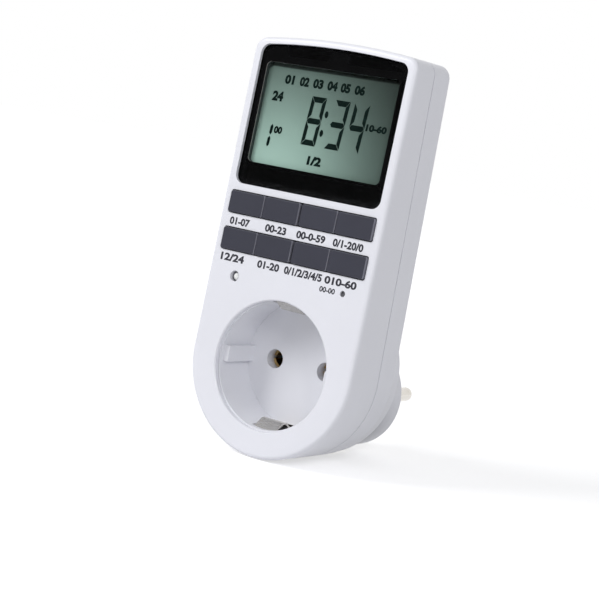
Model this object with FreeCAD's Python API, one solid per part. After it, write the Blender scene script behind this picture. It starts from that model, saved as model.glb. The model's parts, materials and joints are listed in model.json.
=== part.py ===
import FreeCAD, Part
import math
import os

# Programmable plug-in timer, in millimetres.
# The origin is the centre of the plug's end face. +Y points into the wall outlet, +X is to the
# right for someone facing the display, and +Z is up.
# Pieces behind the tilted face are drawn in face coordinates first: u across, v up the face from
# the socket's axis, and depth measured inwards from the face. to_face() then puts them in place.

# Case
case_width = 58.5
case_top = 108.85
case_crown_radius = 230.0
case_corner_radius = 4.2
case_bottom_rise = 0.9
case_depth = 27.3
front_depth = 16.0
face_tilt = 3.19
wall = 1.9
face_wall = 2.0
back_wall = 2.0
face_edge_radius = 1.5
back_edge_radius = 2.2
seam_width = 0.35
seam_depth = 0.5
lip_height = 1.5
lip_thickness = 0.8
lip_clearance = 0.1
boss_rib = 1.9
boss_rib_setback = 3.0

# Plug on the back
plug_length = 27.5
plug_radius = 18.0
plug_wall = 1.5
plug_end_wall = 4.0
plug_edge_radius = 1.3
plug_flange_radius = 19.8
plug_flange_thickness = 1.75
plug_clearance = 0.15
plug_root_radius = 18.2
plug_root_rise = 0.3
base_inset = 0.3
base_rise = 2.3
base_edge_radius = 0.5
opening_wall = 1.3
pin_pitch = 19.0
pin_radius = 2.4
pin_length = 19.0
pin_tip_radius = 1.9
pin_collar_radius = 3.5
pin_collar_thickness = 2.0
pin_tail_radius = 1.9
pin_tail_length = 7.0
pin_root_radius = 2.7
pin_root_rise = 0.4
pin_clearance = 0.03

# Socket in the face
socket_rise = 9.0
socket_mouth_radius = 20.0
socket_mouth_chamfer = 0.35
socket_radius = 19.5
socket_depth = 17.5
socket_wall = 1.3
socket_floor = 3.0
pin_hole_radius = 3.0
guide_rib_width = 5.0
guide_rib_height = 1.9
guide_rib_setback = 1.5
pocket_wall = 1.25
pocket_length = 2.7
pocket_clearance = 0.15
dish_radius = 23.4
dish_depth = 0.22
ear_angles = (55.0, 125.0, 235.0, 305.0)
ear_reach = 23.4
ear_radius = 2.3
ear_thickness = 2.0
ear_setback = 1.2

# Earth strips
clip_width = 8.0
clip_thickness = 0.6
clip_slot_clearance = 0.5
clip_bulge = 3.2
clip_setback = 4.0
strip_thickness = 0.8
strip_bend = 1.0
clip_bend = 2.6
strip_seat = 0.04
plug_strip_width = 8.0
plug_strip_length = 17.0
plug_strip_inset = 0.2
earth_link_width = 5.0
earth_link_height = 3.4

# Receptacles, link and leads
receptacle_radius = 3.2
receptacle_grip = 0.02
receptacle_length = 14.4
receptacle_gap = 1.3
receptacle_slot = 1.0
receptacle_slot_length = 9.0
tab_width = 2.5
tab_thickness = 0.7
tab_reach = 9.0
link_width = 5.0
link_offset = 2.6
link_reach = 15.0
lead_radius = 0.9
lead_bend = 2.0
lead_gap = 0.15
live_lead_out = 17.5
lead_landing = 2.1

# Window and display
window_margin = 2.9
window_bottom = 52.8
window_top_margin = 2.15
window_corner_radius = 3.0
window_clearance = 0.1
lens_thickness = 1.0
bezel_thickness = 0.8
sleeve_wall = 0.7
window_ledge = 0.8
display_border = 1.1
display_bottom = 60.0
display_top = 91.5
display_corner_radius = 1.6
glass_bottom = 57.5
glass_top = 93.0
glass_thickness = 1.1
glass_ledge = 2.0
reflector_thickness = 0.2
frame_rim = 0.8
frame_side = 1.75
frame_clearance = 0.4
frame_plate = 1.0
stack_gap = 0.05
zebra_width = 1.6
zebra_inset = 2.0

# Control board
board_depth = 7.5
board_thickness = 1.2
board_clearance = 1.0
board_bottom = 22.2
board_top = 97.2
board_corner_radius = 2.5
board_screw_places = ((0.0, 53.7), (-9.0, 24.6), (9.0, 24.6), (-14.0, 95.8), (14.0, 95.8))
board_boss_radius = 1.6
board_screw_radius = 0.6
board_screw_head_radius = 1.4
board_screw_head_height = 1.0
board_screw_bite = 3.5

# Keys
key_margin = 3.05
key_rows = (("top", 46.95), ("low", 35.45))
key_height = 6.8
key_gap = 0.2
key_middle_gap = 0.7
key_clearance = 0.25
key_proud = 0.8
key_corner_radius = 0.7
key_edge_radius = 0.3
key_travel = 0.7
key_flange_overhang = 0.4
key_flange_gap = 0.15
key_flange_thickness = 1.0
key_plunger_radius = 2.4
key_bell_radius = 3.6
key_bell_wall = 0.45
key_floor_gap = 0.1
mat_thickness = 1.2
mat_clearance = 0.3
mat_border = 1.2

# Lamp and reset button
led_place = (-19.1, 24.35)
led_radius = 1.5
led_clearance = 0.15
led_tip_depth = 0.4
led_length = 5.3
led_flange_radius = 1.9
led_flange_thickness = 1.0
led_leg_radius = 0.25
reset_place = (20.1, 26.6)
reset_radius = 0.75
reset_clearance = 0.15
reset_tip_depth = 0.6
reset_guide_wall = 1.0
reset_guide_length = 2.2
reset_foot_radius = 1.1
reset_travel = 0.35
switch_width = 5.0
switch_height = 2.3
switch_well_depth = 1.4

# Power board and its parts
power_board_thickness = 1.6
power_board_standoff = 2.0
power_board_margin = 3.15
power_board_bottom = 34.1
power_board_top = 102.4
power_board_corner = 1.5
power_screw_left = ((3.7, 37.9), (3.7, 97.4))
power_screw_right = ((2.9, 41.9), (3.7, 97.4))
power_screw_radius = 0.8
power_screw_head_radius = 1.6
power_screw_head_height = 1.0
power_boss_radius = 1.9
power_screw_bite = 2.5
boxed_edge_radius = 0.6
relay_size = (28.8, 10.2, 12.4)
relay_corner = (-15.6, 37.1)
film_capacitor_size = (18.0, 8.4, 8.0)
film_capacitor_corner = (-19.5, 51.5)
smoothing_radius = 4.0
smoothing_length = 12.0
smoothing_edge_radius = 0.5
smoothing_place = (8.5, 55.5)
varistor_radius = 5.0
varistor_thickness = 3.6
varistor_edge_radius = 0.9
varistor_place = (-16.5, 71.9)
fuse_radius = 1.8
fuse_length = 10.0
fuse_place = (-2.0, 68.9)
resistor_radius = 1.9
resistor_length = 11.0
resistor_place = (-1.0, 75.9)
diode_radius = 1.35
diode_length = 5.2
diode_place = (6.0, 84.9)
diode_pitch = 4.2
diode_count = 4
wire_radius = 0.35
wire_reach = 1.8
header_place = (17.0, 68.1)
header_pins = 4
header_pitch = 2.54
header_base = 2.5
header_pin_radius = 0.35
header_pin_gap = 0.15
cell_radius = 7.75
cell_height = 6.0
cell_edge_radius = 0.75
cell_place = (-11.0, 88.9)
chip_radius = 5.5
chip_height = 1.2
chip_edge_radius = 1.0
chip_place = (2.0, 72.0)
crystal_radius = 1.0
crystal_length = 6.0
crystal_place = (14.0, 86.0)

# Case screws
case_screw_rows = ((5.85, 6.4), (6.45, 62.1))
case_boss_radius = 2.3
case_screw_radius = 1.2
case_screw_head_radius = 2.2
case_screw_head_height = 1.6
case_screw_recess = 2.5
case_screw_recess_radius = 2.5
case_screw_seat = 1.1
case_screw_seat_radius = 3.5
case_screw_bite = 8.0
screw_clearance = 0.02
shank_clearance = 0.2
pilot_spare = 0.5
socket_screw_radius = 0.9
socket_screw_head_radius = 1.9
socket_screw_head_height = 1.3
socket_screw_bite = 4.5

# Places worked out from the sizes above
case_half = case_width / 2
back_y = -plug_length
rear_depth = case_depth - front_depth
seam_y = back_y - rear_depth
face_y = seam_y - front_depth
floor_y = back_y - back_wall
base_y = back_y + base_rise
bottom_middle = socket_rise + case_bottom_rise
socket_floor_y = face_y + socket_depth
socket_back_y = socket_floor_y + socket_floor
socket_outer = socket_radius + socket_wall
pin_x = pin_pitch / 2
tilt = math.radians(face_tilt)
inner_half = case_half - wall
window_half = case_half - window_margin
glass_half_width = inner_half - frame_side - 1.5 * frame_clearance
display_half_width = glass_half_width - display_border
zebra_half_length = glass_half_width - zebra_inset
power_board_half_width = inner_half - power_board_margin
case_screw_places = [(side * (case_half - inset), z) for inset, z in case_screw_rows for side in (-1, 1)]
power_screw_places = [(inset - power_board_half_width, z) for inset, z in power_screw_left]
power_screw_places += [(power_board_half_width - inset, z) for inset, z in power_screw_right]
window_recess = lens_thickness + bezel_thickness
pad_depth = window_recess + window_ledge
front_glass_depth = pad_depth + stack_gap
rear_glass_depth = front_glass_depth + glass_thickness
reflector_depth = rear_glass_depth + glass_thickness
frame_plate_depth = reflector_depth + reflector_thickness + stack_gap
frame_bottom = glass_bottom - frame_clearance / 2 - frame_rim
frame_top = glass_top + frame_clearance / 2 + frame_rim
board_back = board_depth + board_thickness
key_half = case_half - key_margin
power_front_y = floor_y - power_board_standoff - power_board_thickness
receptacle_y = socket_back_y + receptacle_gap
ear_y = seam_y - ear_setback
clip_tip_y = face_y + clip_setback
reach = 200.0
overrun = 1.0
tight = 1e-4


def point(x, y, z):
    return FreeCAD.Vector(x, y, z)


def block(xs, ys, zs):
    corner = point(xs[0], ys[0], zs[0])
    return Part.makeBox(xs[1] - xs[0], ys[1] - ys[0], zs[1] - zs[0], corner)


def rod(radius, ys, x=0.0, z=0.0):
    return Part.makeCylinder(radius, ys[1] - ys[0], point(x, ys[0], z), point(0, 1, 0))


def tube(outer, inner, ys, x=0.0, z=0.0):
    return rod(outer, ys, x, z).cut(rod(inner, ys, x, z))


def line(start, end):
    return Part.LineSegment(start, end).toShape()


def arc(start, middle, end):
    return Part.Arc(start, middle, end).toShape()


def prism(edges, ys):
    face = Part.Face(Part.Wire(edges))
    face.translate(point(0, ys[0], 0))
    return face.extrude(point(0, ys[1] - ys[0], 0))


def to_face(shape):
    """Put a shape drawn in face coordinates where the tilted face is."""
    turn = FreeCAD.Rotation(point(1, 0, 0), -face_tilt)
    shape.Placement = FreeCAD.Placement(point(0, face_y, socket_rise), turn)
    return shape


def face_v(z, depth):
    """Height on the face, in face coordinates, of a point at height z and this depth."""
    return (z - socket_rise + depth * math.sin(tilt)) / math.cos(tilt)


def behind_face(z, depth):
    """The y of a point at height z that lies this deep behind the face."""
    v = face_v(z, depth)
    return face_y + v * math.sin(tilt) + depth * math.cos(tilt)


def crowned_top(half, top, crown, corner):
    """Edges of a crowned top with rounded corners, from its left side to its right side."""
    crown_z = top - crown
    corner_x = half - corner
    corner_z = crown_z + math.sqrt((crown - corner) ** 2 - corner_x ** 2)
    lean = math.atan2(corner_x, corner_z - crown_z)
    halfway = (lean + math.pi / 2) / 2
    bend_x = corner_x + corner * math.sin(halfway)
    bend_z = corner_z + corner * math.cos(halfway)
    start_x = crown * math.sin(lean)
    start_z = crown_z + crown * math.cos(lean)
    corners = []
    for side in (-1, 1):
        end = point(side * half, 0, corner_z)
        corners.append((end, point(side * bend_x, 0, bend_z), point(side * start_x, 0, start_z)))
    (left_end, left_bend, left_start), (right_end, right_bend, right_start) = corners
    edges = [arc(left_end, left_bend, left_start)]
    edges.append(arc(left_start, point(0, 0, top), right_start))
    edges.append(arc(right_start, right_bend, right_end))
    return edges, corner_z


def case_outline(inset):
    """The case seen from the front: crowned top, straight sides, half-round bottom."""
    half = case_half - inset
    middle = bottom_middle
    corner = case_corner_radius - inset
    edges, side_z = crowned_top(half, case_top - inset, case_crown_radius - inset, corner)
    left = point(-half, 0, middle)
    right = point(half, 0, middle)
    edges.append(line(point(half, 0, side_z), right))
    edges.append(arc(right, point(0, 0, middle - half), left))
    edges.append(line(left, point(-half, 0, side_z)))
    return edges


def crowned_panel(half, bottom, top, crown, corner):
    """A panel with a crowned top, flat bottom and four rounded corners."""
    edges, side_z = crowned_top(half, top, crown, corner)
    cut = corner * (1 - math.sqrt(0.5))
    right = point(half, 0, bottom + corner)
    low_right = point(half - corner, 0, bottom)
    low_left = point(corner - half, 0, bottom)
    left = point(-half, 0, bottom + corner)
    edges.append(line(point(half, 0, side_z), right))
    edges.append(arc(right, point(half - cut, 0, bottom + cut), low_right))
    edges.append(line(low_right, low_left))
    edges.append(arc(low_left, point(cut - half, 0, bottom + cut), left))
    edges.append(line(left, point(-half, 0, side_z)))
    return edges


def rounded_block(xs, ys, zs, radius):
    """A block with its four edges along Y rounded."""
    solid = block(xs, ys, zs)
    return solid.makeFillet(radius, edges_along_y(solid))


def edges_along_y(shape):
    return [e for e in shape.Edges if e.BoundBox.XLength < tight and e.BoundBox.ZLength < tight]


def edges_at_depth(shape, y):
    """Edges of a shape that lie wholly in the plane of this y."""
    flat = [e for e in shape.Edges if e.BoundBox.YLength < tight]
    return [e for e in flat if abs(e.BoundBox.YMin - y) < tight]


def bent_strip(route, thickness, xs):
    """A flat strip of metal, folded along a route of (z, y, bend radius) points on its middle plane."""
    places = [point(xs[0], y, z) for z, y, _ in route]
    sides = [strip_side(places, [bend for _, _, bend in route], side * thickness / 2) for side in (-1, 1)]
    near, far = sides
    caps = [line(near[0].Vertexes[0].Point, far[0].Vertexes[0].Point)]
    caps.append(line(far[-1].Vertexes[-1].Point, near[-1].Vertexes[-1].Point))
    face = Part.Face(Part.Wire([caps[0]] + far + [caps[1]] + near[::-1]))
    return face.extrude(point(xs[1] - xs[0], 0, 0))


def strip_side(places, bends, offset):
    """One side of a folded strip: its middle line, shifted square to itself."""
    across = [point(1, 0, 0).cross((b - a).normalize()) * offset for a, b in zip(places, places[1:])]
    edges = []
    start = places[0] + across[0]
    for n in range(1, len(places) - 1):
        into = (places[n] - places[n - 1]).normalize()
        out = (places[n + 1] - places[n]).normalize()
        half_turn = into.getAngle(out) / 2
        trim = bends[n] * math.tan(half_turn)
        inwards = (out - into).normalize()
        centre = places[n] + inwards * (bends[n] / math.cos(half_turn))
        first = places[n] - into * trim + across[n - 1]
        last = places[n] + out * trim + across[n]
        middle = centre - inwards * (first - centre).Length
        edges.append(line(start, first))
        edges.append(arc(first, middle, last))
        start = last
    edges.append(line(start, places[-1] + across[-1]))
    return edges


def round_wire(places, radius, bend):
    """A round wire along straight runs joined by arcs of one bend radius."""
    edges = []
    start = places[0]
    for before, corner, after in zip(places, places[1:], places[2:]):
        into = (corner - before).normalize()
        out = (after - corner).normalize()
        angle = into.getAngle(out)
        trim = bend * math.tan(angle / 2)
        middle = (out - into).normalize() * (bend / math.cos(angle / 2) - bend)
        first = corner - into * trim
        last = corner + out * trim
        edges.append(line(start, first))
        edges.append(arc(first, corner + middle, last))
        start = last
    edges.append(line(start, places[-1]))
    path = Part.Wire(edges)
    circle = Part.Wire(Part.makeCircle(radius, places[0], places[1] - places[0]))
    return path.makePipeShell([circle], True, False)


def joined(first, others):
    return first.fuse(list(others)).removeSplitter()


def cut_all(shape, others):
    return shape.cut(list(others))


def pin_places():
    return ((-pin_x, 0.0), (pin_x, 0.0))


def ear_places():
    for angle in ear_angles:
        turn = math.radians(angle)
        yield ear_reach * math.cos(turn), socket_rise + ear_reach * math.sin(turn)


def key_spans():
    """Left and right edge of each key in a row."""
    width = (key_half - key_gap - key_middle_gap / 2) / 2
    for side in (-1, 1):
        outer = side * (key_half - width / 2)
        inner = side * (key_middle_gap / 2 + width / 2)
        for middle in ((outer, inner) if side < 0 else (inner, outer)):
            yield middle - width / 2, middle + width / 2


def face_skin(depth):
    """Everything in front of the plane that lies this deep behind the tilted face."""
    return to_face(block((-reach, reach), (-reach, depth), (-reach, reach)))


# Case, front half

def front_block():
    """The front half as a solid block, with its tilted face and rounded face edge."""
    solid = prism(case_outline(0), (face_y - front_depth, seam_y))
    solid = solid.cut(face_skin(0))
    rim = []
    for edge in solid.Edges:
        if all(abs(v.Y - behind_face(v.Z, 0)) < tight for v in edge.Vertexes):
            rim.append(edge)
    return solid.makeFillet(face_edge_radius, rim)


def front_cavity():
    solid = prism(case_outline(wall), (face_y - front_depth, seam_y))
    return solid.cut(face_skin(face_wall))


def window_panel(inset, depths):
    """The window's outline in face coordinates."""
    top = face_v(case_top, 0) - window_top_margin - inset
    crown = case_crown_radius - window_top_margin - inset
    corner = window_corner_radius - inset
    return prism(crowned_panel(window_half - inset, window_bottom + inset, top, crown, corner), depths)


def display_opening(grow, depths):
    across = display_half_width + grow
    heights = (display_bottom - grow, display_top + grow)
    return rounded_block((-across, across), depths, heights, display_corner_radius + grow)


def front_shell():
    block_solid = front_block()
    shell = block_solid.cut(front_cavity())
    added = [to_face(window_panel(0, (face_wall, pad_depth)))]
    deep = face_y - front_depth
    for x, z in case_screw_places:
        added.append(rod(case_boss_radius, (deep, seam_y), x, z))
    for x, z in case_screw_places[:2]:
        side = math.copysign(1, x)
        spans = sorted((x + side * case_boss_radius / 2, side * (case_half - wall / 2)))
        added.append(block(spans, (deep, seam_y - boss_rib_setback), (z - boss_rib / 2, z + boss_rib / 2)))
    for x, z in ear_places():
        added.append(rod(ear_radius, (deep, ear_y - ear_thickness), x, z))
    for u, v in board_screw_places:
        added.append(to_face(rod(board_boss_radius, (0, board_depth), u, v)))
    guide = reset_radius + reset_clearance + reset_guide_wall
    added.append(to_face(rod(guide, (0, face_wall + reset_guide_length), *reset_place)))
    inside = [piece.common(block_solid) for piece in added]
    shell = joined(shell, inside)
    return cut_all(shell, front_openings())


def front_openings():
    """Everything that is open in the front half: window, keys, socket, small holes and pilots."""
    cuts = [to_face(window_panel(0, (-overrun, window_recess)))]
    cuts.append(to_face(display_opening(sleeve_wall + window_clearance, (0, board_depth))))
    half = key_half + key_clearance
    for _, v in key_rows:
        heights = (v - key_height / 2 - key_clearance, v + key_height / 2 + key_clearance)
        slot = rounded_block((-half, half), (-overrun, face_wall + overrun), heights, key_corner_radius)
        cuts.append(to_face(slot))
    cuts.append(rod(socket_mouth_radius, (face_y - front_depth, socket_floor_y), 0, socket_rise))
    cuts.append(mouth_cone(dish_radius - socket_mouth_radius, dish_depth, 0))
    cuts.append(mouth_cone(socket_mouth_chamfer, socket_mouth_chamfer, dish_depth))
    cuts.append(to_face(rod(led_radius + led_clearance, (-overrun, face_wall + overrun), *led_place)))
    cuts.append(to_face(rod(reset_radius + reset_clearance, (-overrun, board_depth), *reset_place)))
    cuts.extend(pilot_holes())
    rebate_inset = wall - lip_thickness - lip_clearance
    rebate = prism(case_outline(rebate_inset), (seam_y - lip_height - lip_clearance, seam_y))
    cuts.append(rebate.cut(rebate_cores()))
    return cuts


def pilot_holes():
    """Holes that the screws cut their threads in."""
    holes = []
    for x, z in case_screw_places:
        end = seam_y - case_screw_bite - pilot_spare
        holes.append(rod(case_screw_radius + screw_clearance, (end, seam_y), x, z))
    for x, z in ear_places():
        seat = ear_y - ear_thickness
        end = seat - socket_screw_bite - pilot_spare
        holes.append(rod(socket_screw_radius + screw_clearance, (end, seat), x, z))
    for u, v in board_screw_places:
        end = board_depth - board_screw_bite - pilot_spare
        holes.append(to_face(rod(board_screw_radius + screw_clearance, (end, board_depth), u, v)))
    return holes


def rebate_cores():
    """What the rim's rebate leaves standing: the bosses that reach the seam."""
    cores = [rod(case_boss_radius, (seam_y - front_depth, seam_y), x, z) for x, z in case_screw_places]
    return cores[0].fuse(cores[1:])


def mouth_cone(spread, fall, depth):
    """A cone that starts this deep, this far outside the socket's mouth, and falls this much to it."""
    wide = socket_mouth_radius + 2 * spread
    narrow = socket_mouth_radius - spread
    return to_face(Part.makeCone(wide, narrow, 3 * fall, point(0, depth - fall, 0), point(0, 1, 0)))


# Case, rear half

def rear_cavity(clearance):
    """The hollow of the rear half, drawn in by a clearance."""
    cavity = prism(case_outline(wall + clearance), (seam_y, floor_y))
    return cavity.makeFillet(back_edge_radius - wall, edges_at_depth(cavity, floor_y))


def rear_shell():
    outer = prism(case_outline(0), (seam_y, back_y))
    outer = outer.makeFillet(back_edge_radius, edges_at_depth(outer, back_y))
    groove = prism(case_outline(0), (seam_y, seam_y + seam_width))
    groove = groove.cut(prism(case_outline(seam_depth), (seam_y, seam_y + seam_width)))
    shell = outer.cut(groove).cut(rear_cavity(0))
    added = [lip_ring(), plug_base()]
    seat_y = back_y - case_screw_recess - case_screw_seat
    for x, z in case_screw_places:
        added.append(rod(case_screw_seat_radius, (seat_y, floor_y), x, z).common(outer))
        added.append(rod(case_boss_radius, (seam_y, floor_y), x, z))
    for x, z in power_screw_places:
        added.append(rod(power_boss_radius, (floor_y - power_board_standoff, floor_y), x, z))
    shell = joined(shell, added)
    cuts = [base_hollow(), rod(plug_root_radius + plug_clearance, (floor_y - plug_clearance, base_y))]
    for x, z in case_screw_places:
        cuts.append(rod(case_screw_radius + shank_clearance, (seam_y, back_y), x, z))
        cuts.append(rod(case_screw_recess_radius, (back_y - case_screw_recess, base_y), x, z))
    for x, z in power_screw_places:
        seat = floor_y - power_board_standoff
        end = seat + power_screw_bite + pilot_spare
        cuts.append(rod(power_screw_radius + screw_clearance, (seat, end), x, z))
    return cut_all(shell, cuts)


def plug_base():
    """Low round base that the plug stands on, almost as wide as the case."""
    base = rod(case_half - base_inset, (floor_y, base_y), 0, bottom_middle)
    base = base.makeFillet(base_edge_radius, edges_at_depth(base, base_y))
    return base.common(prism(case_outline(0), (floor_y, base_y)))


def base_hollow():
    """The hollow inside the base, round the plug's opening and the screw seats."""
    span = (floor_y, base_y - back_wall)
    hollow = rod(case_half - base_inset - wall, span, 0, bottom_middle)
    kept = [rod(plug_root_radius + plug_clearance + opening_wall, span)]
    kept += [rod(case_screw_seat_radius, span, x, z) for x, z in case_screw_places[:2]]
    return cut_all(hollow, kept)


def lip_ring():
    span = (seam_y - lip_height, seam_y + lip_height)
    ring = prism(case_outline(wall - lip_thickness), span)
    return ring.cut(prism(case_outline(wall), span))


# Plug

def plug_body():
    flange_y = floor_y - plug_flange_thickness
    root_end = base_y + plug_root_rise
    body = rod(plug_radius, (root_end, 0))
    body = body.makeFillet(plug_edge_radius, edges_at_depth(body, 0))
    root = rod(plug_root_radius, (floor_y - stack_gap, root_end))
    flange = rod(plug_flange_radius, (flange_y, floor_y - stack_gap))
    body = body.fuse([root, flange.common(rear_cavity(plug_clearance))])
    cuts = [rod(plug_radius - plug_wall, (flange_y, -plug_end_wall))]
    half = plug_strip_width / 2 + plug_clearance
    slot_end = -plug_end_wall - plug_strip_length - overrun
    for side in (-1, 1):
        heights = sorted((side * (plug_radius - plug_wall - overrun), side * reach))
        cuts.append(block((-half, half), (slot_end, -plug_end_wall), heights))
    for x, z in pin_places():
        cuts.append(rod(pin_root_radius + pin_clearance, (-plug_end_wall - overrun, overrun), x, z))
    return cut_all(body, cuts)


def contact_pin(x):
    pin = rod(pin_radius, (pin_root_rise, pin_length), x)
    pin = pin.makeFillet(pin_tip_radius, edges_at_depth(pin, pin_length))
    root = rod(pin_root_radius, (-plug_end_wall, pin_root_rise), x)
    collar_y = -plug_end_wall - pin_collar_thickness
    collar = rod(pin_collar_radius, (collar_y, -plug_end_wall), x)
    tail = rod(pin_tail_radius, (collar_y - pin_tail_length, collar_y), x)
    return joined(pin, [root, collar, tail])


# Socket

def socket_insert():
    """The recessed cup, with its guide ribs, pin holes, contact pockets and screw ears."""
    front = face_y - front_depth
    cup = rod(socket_outer, (front, socket_back_y), 0, socket_rise)
    cup = cup.cut(rod(socket_radius, (front, socket_floor_y), 0, socket_rise))
    added = []
    for side in (-1, 1):
        spans = sorted((side * (socket_radius - guide_rib_height), side * (socket_radius + socket_wall / 2)))
        heights = (socket_rise - guide_rib_width / 2, socket_rise + guide_rib_width / 2)
        rib = block(spans, (front, socket_floor_y), heights)
        added.append(rib.cut(face_skin(face_wall + guide_rib_setback)))
    pocket_inner = receptacle_radius + pocket_clearance
    for side in (-1, 1):
        pocket = (socket_back_y, socket_back_y + pocket_length)
        added.append(rod(pocket_inner + pocket_wall, pocket, side * pin_x, socket_rise))
    for x, z in ear_places():
        added.append(screw_ear(x, z))
    cup = joined(cup, added)
    cuts = [face_skin(face_wall + stack_gap)]
    for side in (-1, 1):
        hole = (socket_floor_y - overrun, socket_back_y + overrun)
        cuts.append(rod(pin_hole_radius, hole, side * pin_x, socket_rise))
        span = (socket_back_y, socket_back_y + pocket_length)
        cuts.append(rod(pocket_inner, span, side * pin_x, socket_rise))
        half = tab_width / 2 + pocket_clearance
        spans = (side * pin_x - half, side * pin_x + half)
        tab_y = (span[1] - tab_thickness - pocket_clearance, span[1])
        cuts.append(block(spans, tab_y, (socket_rise, socket_rise + tab_reach)))
        half = clip_width / 2 + clip_slot_clearance
        heights = sorted((side * (socket_radius - clip_thickness), side * (socket_outer + overrun)))
        heights = [socket_rise + h for h in heights]
        cuts.append(block((-half, half), (clip_tip_y - overrun, socket_back_y + overrun), heights))
    return cut_all(cup, cuts)


def screw_ear(x, z):
    span = (ear_y - ear_thickness, ear_y)
    disc = rod(ear_radius, span, x, z)
    angle = math.degrees(math.atan2(z - socket_rise, x))
    arm = block((socket_radius + socket_wall / 2, ear_reach), span, (-ear_radius, ear_radius))
    arm.rotate(point(0, 0, 0), point(0, 1, 0), -angle)
    arm.translate(point(0, 0, socket_rise))
    hole = rod(socket_screw_radius + shank_clearance, span, x, z)
    return disc.fuse(arm).cut(hole)


def socket_earth_bracket():
    """One strip: across the back of the floor and up both sides as sprung earth clips."""
    out = socket_radius + socket_wall / 2 - clip_thickness / 2
    base_y = socket_back_y + clip_thickness / 2 + strip_seat
    bulge_y = (2 * clip_tip_y + socket_floor_y) / 3
    root_y = (clip_tip_y + 2 * socket_floor_y) / 3
    side = [(out, clip_tip_y, 0), (out - clip_bulge, bulge_y, clip_bend)]
    side += [(out, root_y, clip_bend), (out, base_y, strip_bend)]
    route = [(socket_rise + z, y, bend) for z, y, bend in side]
    route += [(socket_rise - z, y, bend) for z, y, bend in reversed(side)]
    return bent_strip(route, clip_thickness, (-clip_width / 2, clip_width / 2))


def plug_earth_bracket():
    """One strip: across the inside of the plug's end wall and along both sides."""
    out = plug_radius - plug_strip_inset - strip_thickness / 2
    base_y = -plug_end_wall - strip_thickness / 2 - strip_seat
    side = [(out, base_y - plug_strip_length, 0), (out, base_y, strip_bend)]
    route = side + [(-z, y, bend) for z, y, bend in reversed(side)]
    return bent_strip(route, strip_thickness, (-plug_strip_width / 2, plug_strip_width / 2))


def earth_link():
    """Joins the two earth strips, foot to foot."""
    near_y = -plug_end_wall - strip_seat - strip_thickness - strip_seat - strip_thickness / 2
    far_y = socket_back_y + strip_seat + clip_thickness + strip_seat + strip_thickness / 2
    route = [(-earth_link_height, near_y, 0), (earth_link_height, near_y, strip_bend)]
    route += [(earth_link_height, far_y, strip_bend), (socket_rise + earth_link_height / 2, far_y, 0)]
    return bent_strip(route, strip_thickness, (-earth_link_width / 2, earth_link_width / 2))


# Live and neutral parts

def receptacle(x):
    """A sprung sleeve that grips an inserted pin, with a tab for its wire."""
    span = (receptacle_y, receptacle_y + receptacle_length)
    sleeve = tube(receptacle_radius, pin_radius + receptacle_grip, span, x, socket_rise)
    slot_end = span[0] + receptacle_slot_length
    half = receptacle_slot / 2
    slots = [
        block((x - reach, x + reach), (span[0], slot_end), (socket_rise - half, socket_rise + half)),
        block((x - half, x + half), (span[0], slot_end), (socket_rise - reach, socket_rise)),
    ]
    sleeve = cut_all(sleeve, slots)
    tab_end = socket_back_y + pocket_length
    tab = block(
        (x - tab_width / 2, x + tab_width / 2),
        (tab_end - tab_thickness, tab_end),
        (socket_rise + (pin_radius + receptacle_radius) / 2, socket_rise + tab_reach),
    )
    return joined(sleeve, [tab])


def neutral_link():
    """Strip from the neutral pin's tail to the neutral receptacle."""
    fixed_y = -plug_end_wall - pin_collar_thickness - link_offset
    top = socket_rise - receptacle_radius - strip_seat - strip_thickness / 2
    low = -pin_tail_radius - strip_thickness
    route = [(low, fixed_y, 0), (top, fixed_y, strip_bend), (top, fixed_y - link_reach, 0)]
    strip = bent_strip(route, strip_thickness, (-pin_x - link_width / 2, -pin_x + link_width / 2))
    hole = (fixed_y - overrun, fixed_y + overrun)
    return strip.cut(rod(pin_tail_radius + pin_clearance, hole, -pin_x))


def lead_run_y():
    return socket_back_y + pocket_length - tab_thickness - lead_radius - strip_seat


def board_lead(x, start):
    """A lead that runs up behind the socket and lands on the power board."""
    run_y = lead_run_y()
    over_y = power_front_y - lead_radius - lead_gap
    places = list(start)
    places.append(point(x, run_y, socket_rise + socket_outer - lead_bend))
    places.append(point(x, over_y, power_board_bottom - lead_radius))
    places.append(point(x, over_y, power_board_bottom + lead_landing))
    return round_wire(places, lead_radius, lead_bend)


def live_lead():
    tail_end = -plug_end_wall - pin_collar_thickness - pin_tail_length - strip_seat
    run_y = lead_run_y()
    start = [point(pin_x, tail_end, 0), point(pin_x, run_y, 0)]
    start.append(point(live_lead_out, run_y, socket_rise / 2))
    return board_lead(live_lead_out, start)


def receptacle_lead(x):
    return board_lead(x, [point(x, lead_run_y(), socket_rise + tab_reach / 2 + lead_radius)])


# Window and display

def window_lens():
    return to_face(window_panel(window_clearance, (0, lens_thickness)))


def display_bezel():
    """Black plate behind the window, with a sleeve down to the display."""
    plate = window_panel(window_clearance, (lens_thickness, window_recess))
    sleeve = display_opening(sleeve_wall, (lens_thickness, pad_depth))
    return to_face(joined(plate, [sleeve]).cut(display_opening(0, (0, board_depth))))


def glass_sheet(bottom, depth, thickness):
    span = (-glass_half_width, glass_half_width)
    return to_face(block(span, (depth, depth + thickness), (bottom, glass_top)))


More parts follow.
